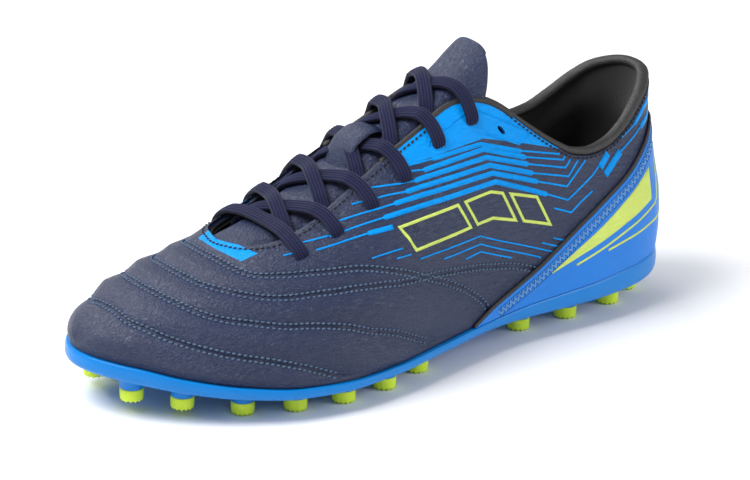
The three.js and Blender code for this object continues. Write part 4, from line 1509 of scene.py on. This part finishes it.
def make_plate():
    turns = turn_at_run(np.linspace(0, RUN_TABLE[1][-1], SOLE_COLUMNS), 1)
    at = station(turns)
    top = at.feather - CLEARANCE
    height = top - at.under
    outer, inner = [
        [outline_point(turns, sign, out, top - share * height) for out, share in SOLE_PROFILE]
        for sign in (1.0, -1.0)
    ]
    waist = bell(at.share - WAIST_AT, WAIST_LONG) * WAIST_DEEP
    across = []
    for part in np.linspace(0, 1, 14)[1:-1]:
        point = outer[-1] * (1 - part) + inner[-1] * part
        hollow = (waist - SOLE_BELLY) * math.sin(part * math.pi)
        across.append(point + np.stack([0 * waist, 0 * waist, hollow], axis=1))
    rows = outer + across + inner[::-1]
    rows.append(rows[0])
    points = np.stack(rows, axis=1)
    for end in (0, -1):
        points[end] = points[end] * [1, 0, 1] + [0, float(at.crown[end]), 0]
    return grid_piece("outsole_plate", points)


def stud_centre(index):
    low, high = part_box(f"stud_tip_{index}")
    middle = (low + high) / 2 / MM
    return middle.x - FRAME_SHIFT[0], middle.y - FRAME_SHIFT[1], low.z / MM


def under_at(x):
    return float(station(float(turn_of((x - HEEL_BACK) / LENGTH))).under)


def turned_rings(profile, count):
    """Rings of a turned form from (radius, height) pairs, closed at both ends."""
    angle = np.linspace(0, 2 * np.pi, count + 1)
    circle = np.stack([np.cos(angle), np.sin(angle), 0 * angle], axis=1)
    rings = [circle * radius + [0, 0, z] for radius, z in profile]
    rings = np.array([rings[0] * [0, 0, 1]] + rings + [rings[-1] * [0, 0, 1]])
    rings[:, -1] = rings[:, 0]
    return rings


def make_outsole():
    plate = make_plate()
    posts = []
    for index in range(1, STUDS + 1):
        x, y, foot = stud_centre(index)
        low = foot + STUD_TIP_HEIGHT + POST_GAP
        high = under_at(x) + POST_SINK
        profile = [(radius, low + share * (high - low)) for radius, share in POST_PROFILE]
        posts.append(grid_piece(f"post_{index}", turned_rings(profile, 28) + [x, y, 0]))
    tool = join("posts", posts)
    apply_modifier(plate, "BOOLEAN", operation="UNION", solver="EXACT", object=tool)
    bpy.data.objects.remove(tool)
    plate.name = "outsole_moulded"
    plate.data.name = "outsole_moulded"
    activate(plate)
    bpy.ops.object.shade_smooth_by_angle(angle=math.radians(SHARP_ANGLE))
    return plate


dress(make_outsole(), blue_sole, "plate", "outsole")

# %% [markdown]
# Each stud ends in a lime rubber tip with a row of small teeth round its foot. The tip is modelled
# once and copied to every post.

# %% Stud tips
TEETH = 14
TOOTH_DEPTH = 0.75
TIP_PROFILE = [
    # radius, height in mm, share of the teeth at this height
    (2.0, 0.42, 0.3), (3.3, 0.12, 1.0), (4.05, 0.05, 1.0), (4.42, 0.12, 1.0), (4.64, 0.62, 0.6),
    (4.76, 1.7, 0.0), (4.8, 3.2, 0.0), (4.82, 5.0, 0.0), (4.7, 5.36, 0.0),
]


def make_tip():
    rings = turned_rings([(radius, z) for radius, z, _ in TIP_PROFILE], TEETH * 4)
    angle = np.linspace(0, 2 * np.pi, TEETH * 4 + 1)
    for index, (_, _, share) in enumerate(TIP_PROFILE):
        rings[index + 1, :, 2] += TOOTH_DEPTH * share * (0.5 - 0.5 * np.cos(TEETH * angle))
    rings[:, -1] = rings[:, 0]
    return grid_piece("stud_tip", rings)


def copy_tips():
    model = make_tip()
    start = np.array([v.co for v in model.data.vertices]) - FRAME_SHIFT * MM
    for index in range(1, STUDS + 1):
        x, y, foot = stud_centre(index)
        tip = model.copy()
        tip.data = model.data.copy()
        tip.name = f"lime_tip_{index}"
        tip.data.name = tip.name
        bpy.context.scene.collection.objects.link(tip)
        place = start + (np.array([x, y, foot]) + FRAME_SHIFT) * MM
        tip.data.vertices.foreach_set("co", place.ravel())
        dress(tip, lime_rubber, "stud_tips", f"stud_tip_{index}")
    bpy.data.objects.remove(model)


copy_tips()

# %% [markdown]
# The insole is a thin cupped foam bed covered with cloth.

# %% Insole
INSOLE_INSET = -2.95
INSOLE_THICKNESS = 3.2
INSOLE_CUP = 1.1
INSOLE_TURNS = (0.045, 0.945)
INSOLE_TAPER = 0.4


def make_insole():
    turns = np.linspace(*INSOLE_TURNS, 120)
    foot = station(turns).feather
    top = (INSOLE_INSET - INSOLE_TAPER, foot + INSOLE_THICKNESS)
    low = [outline_point(turns, sign, INSOLE_INSET, foot) for sign in (1.0, -1.0)]
    high = [outline_point(turns, sign, *top) for sign in (1.0, -1.0)]
    rows = [low[0]]
    for part in np.linspace(0, 1, 15):
        bowl = [0, 0, INSOLE_CUP * (abs(2 * part - 1) ** 3 - 1)]
        rows.append(high[0] * (1 - part) + high[1] * part + bowl)
    rows += [low[1], low[0]]
    return grid_piece("insole_bed", closed_ends(np.stack(rows, axis=1)))


dress(make_insole(), insole_cloth, "insole_foam", "insole")

# %% [markdown]
# The tongue is a padded leather strip. It lies a little lower along its edges, where the laces
# pass under the eyestays, and its tip stands out of the throat as a flat tab.

# %% Tongue
TONGUE_FROM = 0.341
TONGUE_UNTIL = 0.800
TAB_SPREADS = (0.402, TONGUE_FROM)
TAB_RISES = (0.435, TONGUE_FROM)
TONGUE_WIDTH = 50.0
TONGUE_TIP_WIDTH = 46.0
TONGUE_RISE = 7.0
TONGUE_FLARE = 12.5
TONGUE_DROP = 0.85
DROP_GROWS = (0.365, 0.435)
DROP_FADES = (0.80, 0.73)
DROP_WIDEST = 0.68
DROP_INSIDE = 3.0
TONGUE_EDGE_DROP = 1.5
TONGUE_THICKNESS = 3.0
TAB_CORNER = 0.028
TAB_FLAT = 0.52
LACE_ROOM = 2.7
LACE_ROOM_GROWS = (0.40, 0.45)
LACE_ROOM_PARTS = (0.45, 0.75)
NARROWS_FROM = 0.6
NARROWS_BY = 0.9
TONGUE_PUFF = 0.55
TAB_END = 1.2
TAB_END_ROUND = 0.4
TAB_END_OUT = 0.45
TAB_ROWS = 24
TONGUE_ROWS = 110
TONGUE_PARTS = 41
PAD_POWER = 6
EDGE_POWER = 8


def throat_drop(share, out):
    """How far below the last's crown a flat span across the throat lies, in mm."""
    turn = turn_of(share)
    half = throat_lateral(np.minimum(share, DROP_WIDEST)) * BALL_WIDTH - DROP_INSIDE
    edge = skin(turn, side_at_width(turn, half))[..., 2]
    fade = ramp(share, *DROP_GROWS) * ramp(share, *DROP_FADES)
    return (station(turn).ridge - edge) * fade * np.clip(1 - (out / half) ** 2, 0, 1)


def tab_rounding(share):
    """How much of its width the tongue has: less where the tab's corners are rounded off."""
    corner = np.clip((share - TONGUE_FROM) / TAB_CORNER, 0, 1)
    return TAB_FLAT + (1 - TAB_FLAT) * np.sqrt(1 - (1 - corner) ** 2)


def tongue_half(share):
    half = (TONGUE_WIDTH + (TONGUE_TIP_WIDTH - TONGUE_WIDTH) * ramp(share, *TAB_RISES)) / 2
    return half * tab_rounding(share) * (1 - NARROWS_BY * np.maximum(share - NARROWS_FROM, 0))


def tongue_point(turn, part, depth):
    turn, part, depth = np.broadcast_arrays(*(np.asarray(v, float) for v in (turn, part, depth)))
    share = share_of(turn)
    out = tongue_half(share) * part
    edge = (part * tab_rounding(share)) ** 2
    sink = LACE_ROOM * ramp(share, *LACE_ROOM_GROWS) * ramp(np.abs(part), *LACE_ROOM_PARTS)
    sink += TONGUE_DROP * throat_drop(share, out) + TONGUE_EDGE_DROP * edge
    point = offset_skin(turn, side_at_width(turn, out), -WALL - CLEARANCE - sink - depth)
    point[..., 2] += TONGUE_RISE * ramp(share, *TAB_RISES) ** 1.5 * (1 - edge)
    point[..., 2] += TONGUE_FLARE * ramp(share, *TAB_SPREADS) * edge
    return point


def make_tongue():
    corner = TONGUE_FROM + TAB_CORNER * np.linspace(0, 1, TAB_ROWS) ** 2
    turns = turn_of(np.concatenate([corner[:-1], np.linspace(corner[-1], TONGUE_UNTIL, TONGUE_ROWS)]))
    parts = np.linspace(1, -1, TONGUE_PARTS)
    pad = TONGUE_PUFF * (1 - parts ** PAD_POWER)
    soft = np.sqrt(np.clip(1 - parts ** EDGE_POWER, 0, 1))
    middle = TONGUE_THICKNESS / 2
    top = (middle - (middle + pad) * soft)[None, :]
    foot = (middle + middle * soft[::-1])[None, :]
    upper_face = tongue_point(turns[:, None], parts[None, :], top)
    lower_face = tongue_point(turns[:, None], parts[None, ::-1], foot)
    points = np.concatenate([upper_face, lower_face, upper_face[:, :1]], axis=1)
    ends = []
    for end, out in ((0, -TAB_END), (-1, TAB_END)):
        mirror = np.concatenate([lower_face[end, ::-1], upper_face[end, ::-1], lower_face[end, -1:]])
        centre = (points[end] + mirror) / 2
        centre[:, 0] += out
        between = points[end] * (1 - TAB_END_ROUND) + centre * TAB_END_ROUND
        between[:, 0] += out * TAB_END_OUT
        ends.append((between, centre))
    points = np.concatenate([[ends[0][1], ends[0][0]], points, [ends[1][0], ends[1][1]]])
    return grid_piece("tongue_padded", points, merge=0.02)


tongue = dress(make_tongue(), tongue_leather, "tongue_leather", "tongue")

# %% [markdown]
# The collar roll is a soft tube of black leather over foam, thick at the heel and thin at the
# front, and gathered into small wrinkles.

# %% Collar roll and throat piping
ROLL_TALL = 0.8
ROLL_IN = 1.4
ROLL_COLUMNS = 330
WRINKLES = [
    # depth as a share of the width, waves in a millimetre, where the waves begin
    (0.018, 1.7, 0.0), (0.014, 2.9, 1.0),
]
PIPING_DIAMETER = 2.5
PIPING_IN = 0.55
PIPING_SHARES = (0.325, 0.548)


def roll_line(sign, count=90):
    turns = np.linspace(0, float(turn_of(ROLL_FRONT)), count)
    share = share_of(turns)
    z = collar_z(share) - ROLL_TALL * roll_diameter(share) / 2 + CLEARANCE
    return turns, sign * side_at_height(turns, z)


def make_roll():
    route = both_sides(lambda sign: offset_skin(*roll_line(sign), -WALL / 2 - ROLL_IN))
    ups = both_sides(lambda sign: skin_normal(*roll_line(sign)))
    share = both_sides(lambda sign: share_of(roll_line(sign)[0]))
    way = way_along(route)
    fine = np.linspace(0, way[-1], ROLL_COLUMNS)
    wide = np.interp(fine, way, roll_diameter(share))
    gathers = 1 + sum(depth * np.sin(fine * often + start) for depth, often, start in WRINKLES)
    sizes = np.stack([ROLL_TALL * wide, wide * gathers], axis=1)
    rings = sweep(at_ways(fine, way, route), at_ways(fine, way, ups), lambda i: oval(*sizes[i], 20))
    return grid_piece("collar_padding", rings, ring_uv(rings))


def make_piping(sign):
    """The bound edge of the upper throat, from the collar to the fourth eyelet."""
    turns = turn_of(np.linspace(*PIPING_SHARES, 90))
    side = sign * opening_side(turns, sign)
    section = oval(PIPING_DIAMETER, PIPING_DIAMETER, 14)
    rings = sweep(offset_skin(turns, side, -PIPING_IN), skin_normal(turns, side), lambda i: section)
    return grid_piece("outer_piping" if sign > 0 else "inner_piping", rings, ring_uv(rings))


roll = dress(make_roll(), black_leather, "lining", "collar_roll")
for sign in (1, -1):
    dress(make_piping(sign), black_leather, "lining")

# %% [markdown]
# The lace is a flat braid with five ribs. A bar closes the foot of the throat, then two strands
# cross at each pair of eyelets. One goes down into its eyelet from above at one end and comes out
# from under the far edge at the other. The lace's hidden ends stop at the top eyelets.

# %% Laces
LACE_WIDTH = 6.2
LACE_THICKNESS = 2.6
LACE_RIB_DEPTH = 0.5
LACE_SIDES = 44
LACE_STEP = 0.9
STRAND_ROUTE = [
    # out from the crown (1 at the eyelet), share of the way to the next eyelet, height in mm
    (-0.86, -0.02, -5.3), (-0.76, 0.00, -5.1), (-0.66, 0.03, -4.5), (-0.54, 0.10, -2.9),
    (-0.40, 0.20, -0.7), (-0.22, 0.33, 0.3), (0.0, 0.50, 0.5), (0.30, 0.70, 0.9), (0.52, 0.83, 1.5),
    (0.66, 0.91, 1.7), (0.80, 0.97, 1.6), (0.92, 0.99, 1.5), (0.985, 1.0, 0.8), (1.01, 1.0, -0.6),
    (1.015, 1.0, -2.6),
]
BAR_ROUTE = [
    (-1.015, 0.0, -2.6), (-1.01, 0.0, -0.6), (-0.985, 0.0, 0.8), (-0.92, 0.0, 1.5), (-0.75, 0.0, 1.5),
    (-0.5, 0.0, 1.5), (0.0, 0.0, 1.5), (0.5, 0.0, 1.6), (0.75, 0.0, 1.6), (0.92, 0.0, 1.5),
    (0.985, 0.0, 0.8), (1.01, 0.0, -0.6), (1.015, 0.0, -2.6),
]
CROSSING_HUMP = 2.75
HUMP_WIDE = 8.0
LEATHER_FROM = (20.0, 24.0)
STEEP = 0.83
NARROWS_AT = (0.4, -0.8)
NARROWS_IN_HOLE = 0.22


def lace_section(narrow):
    """A flat oval with ribs along both faces."""
    angle = np.arange(LACE_SIDES) * 2 * np.pi / LACE_SIDES
    cos = np.cos(angle)
    sin = np.sin(angle)
    x = LACE_WIDTH / 2 * np.sign(cos) * np.abs(cos) ** LACE_SQUARE
    z = LACE_THICKNESS / 2 * np.sign(sin) * np.abs(sin) ** 0.62
    rib = np.abs(np.cos(x / LACE_WIDTH * np.pi * LACE_RIBS))
    z -= np.sign(z) * LACE_RIB_DEPTH * (1 - rib ** 0.6) * np.minimum(np.abs(z), 1)
    return np.stack([x * narrow, z / narrow ** 0.5], axis=1)


def lace_line(route, here, below, sign, hump):
    """Evenly spaced places of a strand on the last: turn, side, height and distance out."""
    out, along, height = np.array(route).T
    reach = np.where(out > 0, here[1], below[1]) * BALL_WIDTH
    out = out * reach
    share = below[0] + (here[0] - below[0]) * along
    way = way_along(np.stack([out, share * LENGTH, height], axis=1))
    fine = np.linspace(0, way[-1], int(way[-1] / LACE_STEP))
    out, share, height = [smooth_line(way, values)(fine) for values in (out, share, height)]
    height += hump * bell(out, HUMP_WIDE) - throat_drop(share, out)
    turn = turn_of(share)
    return turn, side_at_width(turn, sign * out), height, out


def turned_square(up, tangent):
    """A direction turned to lie square to a strand."""
    turned = up - np.dot(up, tangent) * tangent
    return turned / max(np.linalg.norm(turned), 1e-6)


def lace_strand(name, route, here, below, sign, hump):
    turn, side, height, out = lace_line(route, here, below, sign, hump)
    lift = relief(turn, side) * ramp(np.abs(out), *LEATHER_FROM) * (height > 1)
    normal = skin_normal(turn, side)
    points = offset_skin(turn, side, height) + normal * lift[:, None]
    tangent = unit(np.gradient(points, axis=0))
    flat = normal - np.einsum("ij,ij->i", tangent, normal)[:, None] * tangent
    steep = np.linalg.norm(flat, axis=1) < STEEP
    ups = unit(flat)
    for i in range(1, len(ups)):
        if steep[i]:
            ups[i] = turned_square(ups[i - 1], tangent[i])
    for i in range(len(ups) - 2, -1, -1):
        if steep[i] and not steep[i + 1:].all():
            ups[i] = turned_square(ups[i + 1], tangent[i])
    narrow = 1 - NARROWS_IN_HOLE * ramp(height, *NARROWS_AT) * (out > 0.9 * out.max())
    rings = sweep(points, ups, lambda i: lace_section(float(narrow[i])))
    return grid_piece(name, rings, ring_uv(rings))


lace_bar = lace_strand("lace_bar_braid", BAR_ROUTE, EYELETS[0], EYELETS[0], 1, 0.0)
dress(lace_bar, navy_cord, "laces", "lace_bar")
for index in range(1, len(EYELETS)):
    strands = [
        lace_strand("near", STRAND_ROUTE, EYELETS[index], EYELETS[index - 1], 1, 0.0),
        lace_strand("far", STRAND_ROUTE, EYELETS[index], EYELETS[index - 1], -1, CROSSING_HUMP),
    ]
    dress(join(f"lace_braid_{index}", strands), navy_cord, "laces", f"lace_crossing_{index}")

# %% [markdown]
# A leather loop in the middle of the tongue holds the third crossing. Its lower end runs into
# the tongue and its upper end is sewn down behind the crossed laces.

# %% Lace keeper
KEEPER_SHARES = (0.512, 0.598)
KEEPER_WIDTH = 15.0
KEEPER_THICKNESS = 1.5
KEEPER_WIDENS = 0.25
KEEPER_BOW = 0.018
KEEPER_ARCH = [
    # part of the way from the upper end, height over the tongue in mm
    (0.0, -0.6), (0.07, 1.6), (0.2, 6.0), (0.36, 7.6), (0.52, 7.5), (0.68, 5.9), (0.84, 2.6),
    (1.0, -0.6),
]


def make_keeper():
    parts = np.linspace(0, 1, 60)
    share = KEEPER_SHARES[0] + (KEEPER_SHARES[1] - KEEPER_SHARES[0]) * parts
    arch = smooth_line(*zip(*KEEPER_ARCH))(parts) - WALL - CLEARANCE
    half = KEEPER_WIDTH / 2 * (1 + KEEPER_WIDENS * parts ** 3)
    turn = turn_of(share)
    across = np.linspace(1, -1, 17)
    rows = []
    for face, depth in ((1, 0.0), (-1, KEEPER_THICKNESS)):
        for part in across[::face]:
            out = half * part
            edge_drop = face * KEEPER_THICKNESS / 2 * (1 - np.sqrt(1 - 0.98 * part ** 6))
            height = arch - depth - edge_drop - KEEPER_BOW * out ** 2
            height = height - TONGUE_DROP * throat_drop(share, out)
            rows.append(offset_skin(turn, side_at_width(turn, out), height))
    rows.append(rows[0])
    return grid_piece("lace_keeper", closed_ends(np.stack(rows, axis=1)))


dress(make_keeper(), tongue_leather, "tongue_leather")

# %% [markdown]
# Stitches are many copies of one small bead. A row is a line of places on the last, and each bead
# lies along its row, turned a little. On the vamp a dark bead between two stitches is painted
# shade in the needle hole.

# %% Stitch rows
STITCH_PITCH = 2.3
STITCH_SIZE = (1.85, 1.0, 0.8)
HOLE_SIZE = (0.95, 0.8, 0.34)
STITCH_TURN = 12.0
STITCH_ABOVE = 0.12
SHIFT_STEP = 0.0015


def shifted(turns, sides, across):
    """Moves a line of places sideways over the skin by a distance in mm."""
    here = skin(turns, sides)
    by_turn = (skin(turns + SHIFT_STEP, sides) - here) / SHIFT_STEP
    by_side = (skin(turns, sides - SHIFT_STEP) - here) / -SHIFT_STEP
    along = unit(np.gradient(here, axis=0))
    way = np.cross(skin_normal(turns, sides), along) * across
    basis = np.stack([by_turn, by_side], axis=-1)
    step = np.einsum("nij,nj->ni", np.linalg.pinv(basis), way)
    return turns + step[:, 0], sides + step[:, 1]


def beads(name, places, first, second, normal, size):
    """Copies of one small ball as one piece, each at its place and stretched along its own axes."""
    deselect()
    bpy.ops.mesh.primitive_uv_sphere_add(segments=6, ring_count=4, radius=0.5)
    piece = bpy.context.object
    piece.name = name
    piece.data.name = name
    model = np.array([v.co for v in piece.data.vertices])
    apply_modifier(piece, "ARRAY", count=len(places), use_relative_offset=False)
    axes = np.stack([first * size[0], second * size[1], normal * size[2]], axis=1)
    spots = places[:, None, :] + np.einsum("vk,nkc->nvc", model, axes)
    piece.data.vertices.foreach_set("co", ((spots + FRAME_SHIFT) * MM).ravel())
    piece.data.update()
    bpy.ops.object.shade_smooth()
    return piece


def stitch_frames(rows, lay, lift, turned):
    """Places and axes of the stitches on rows of (turns, sides)."""
    parts = []
    for turns, sides in rows:
        place = lay(turns, sides, lift)
        normal = skin_normal(turns, sides)
        along = unit(np.gradient(place, axis=0))
        across = unit(np.cross(normal, along))
        angle = np.radians(turned) * np.ones(len(turns))
        first = along * np.cos(angle)[:, None] + across * np.sin(angle)[:, None]
        parts.append((place, first, np.cross(normal, first), normal))
    return [np.concatenate(group) for group in zip(*parts)]


def stitched(name, rows, thread, lay=surface, lift=STITCH_ABOVE, size=STITCH_SIZE, turned=STITCH_TURN):
    dress(beads(name, *stitch_frames(rows, lay, lift, turned), size), thread, "laces")


def hole_rows(rows):
    """Places half-way between the stitches of each row."""
    return [((turns[1:] + turns[:-1]) / 2, (sides[1:] + sides[:-1]) / 2) for turns, sides in rows]


# %% The seams of the vamp
ROW_GAP = 1.1
SIDE_LIMIT = 0.965


def seam_rows(name):
    turns, sides = seam_line(name, STITCH_PITCH)
    kept = np.abs(sides) < SIDE_LIMIT
    turns = turns[kept]
    sides = sides[kept]
    return [shifted(turns, sides, ROW_GAP), shifted(turns, sides, -ROW_GAP)]


vamp_rows = [row for name in SEAMS for row in seam_rows(name)]
stitched("vamp_stitches", vamp_rows, seam_thread)
# Dark beads between the vamp stitches: painted shade in the needle holes.
stitched("vamp_needle_hole_shade", hole_rows(vamp_rows), dark_thread_and_hole_shade, lift=0.0, size=HOLE_SIZE, turned=0)

# %% Stitches round the throat and the collar
THROAT_ROW_FROM = 0.46
THROAT_ROW_OUT = 2.4
COLLAR_ROW_BELOW = 1.1
COLLAR_ROW_UNTIL = 0.33


def throat_row():
    """A row round the foot of the throat, from one side to the other."""
    turns = upper_turns(UPPER_COLUMNS)
    share = share_of(turns)
    turns = turns[(share > THROAT_ROW_FROM) & (share <= THROAT_TIP)]
    outer = opening_side(turns, 1)
    inner = -opening_side(turns, -1)
    line = (np.concatenate([turns, turns[::-1]]), np.concatenate([outer, inner[::-1]]))
    return even_line(*shifted(*line, THROAT_ROW_OUT), STITCH_PITCH)


def collar_row():
    """A row just under the collar roll, on each side from the heel to the throat."""
    turns = np.linspace(0, float(turn_of(COLLAR_ROW_UNTIL)), 120)
    share = share_of(turns)
    seat = collar_z(share) - roll_shown(share) - ROLL_SLACK - COLLAR_ROW_BELOW
    side = side_at_height(turns, seat)
    return [even_line(turns, sign * side, STITCH_PITCH) for sign in (1, -1)]


stitched("throat_stitches", [throat_row()], dark_thread_and_hole_shade)
stitched("collar_stitches", collar_row(), dark_thread_and_hole_shade)

# %% The zigzag band on the heel overlay
ZIGZAG_MIDDLE = 3.7
ZIGZAG_WIDTH = 4.6
ZIGZAG_PITCH = 1.25
ZIGZAG_TURN = 58.0
ZIGZAG_SIZE = (ZIGZAG_WIDTH, 0.85, 0.6)
ZIGZAG_ABOVE = 0.1
SPOT_ROWS = (-1.9, -0.6, 0.7, 2.0)
SPOT_SIZE = (0.8, 0.7, 0.4)
SPOT_ABOVE = 0.04
SPOT_TURN = 30
BAND_ENDS = (3.0, 14.0)


def band_row(sign, across):
    """Evenly spaced places along the overlay's edge, a distance below it."""
    front = float(run_at(turn_of(COUNTER_FRONT), sign))
    turns = turn_at_run(np.linspace(BAND_ENDS[0], front - BAND_ENDS[1], 90), sign)
    side = sign * side_at_height(turns, counter_z(share_of(turns)))
    return even_line(*shifted(turns, side, sign * across), ZIGZAG_PITCH)


for sign, name in ((1, "outer"), (-1, "inner")):
    row = band_row(sign, ZIGZAG_MIDDLE)
    lean = np.where(np.arange(len(row[0])) % 2 == 0, ZIGZAG_TURN, -ZIGZAG_TURN)
    stitched(f"{name}_zigzag", [row], blue_thread, counter_surface, ZIGZAG_ABOVE, ZIGZAG_SIZE, lean)
    # Deep blue spots round the zigzag's strands are painted shade in its holes.
    spots = [band_row(sign, ZIGZAG_MIDDLE + out) for out in SPOT_ROWS]
    spot = (counter_surface, SPOT_ABOVE, SPOT_SIZE, SPOT_TURN)
    stitched(f"{name}_zigzag_hole_shade", spots, deep_blue_hole_shade, *spot)

# %% [markdown]
# The heel overlay carries a pale wedge and two pinstripes.

# %% Print on the heel overlay
WEDGE_EDGES = [
    [(95.6, 10.9), (36.2, 39.4)],
    [(95.4, 10.5), (37.1, 25.1)],
]
PINSTRIPES = [
    [(82.5, 10.7, .9), (33.7, 22.2, .9), (32, 24.1, .9), (28, 39.9, .9), (22.5, 45.5, .9)],
    [(65.4, 12.3, .9), (23.9, 16.0, .9), (22.9, 19.6, .9), (20.6, 36.5, .9), (17.0, 41.3, .9)],
]

for sign, name in ((1, "outer"), (-1, "inner")):
    wedge = film(f"{name}_wedge", WEDGE_EDGES, sign, counter_surface, 9)
    stripes = ribbons(f"{name}_pinstripes", PINSTRIPES, sign, counter_surface)
    dress(join(f"{name}_heel_print", [wedge, stripes]), lime_print, "heel_overlay")

# %% Finish
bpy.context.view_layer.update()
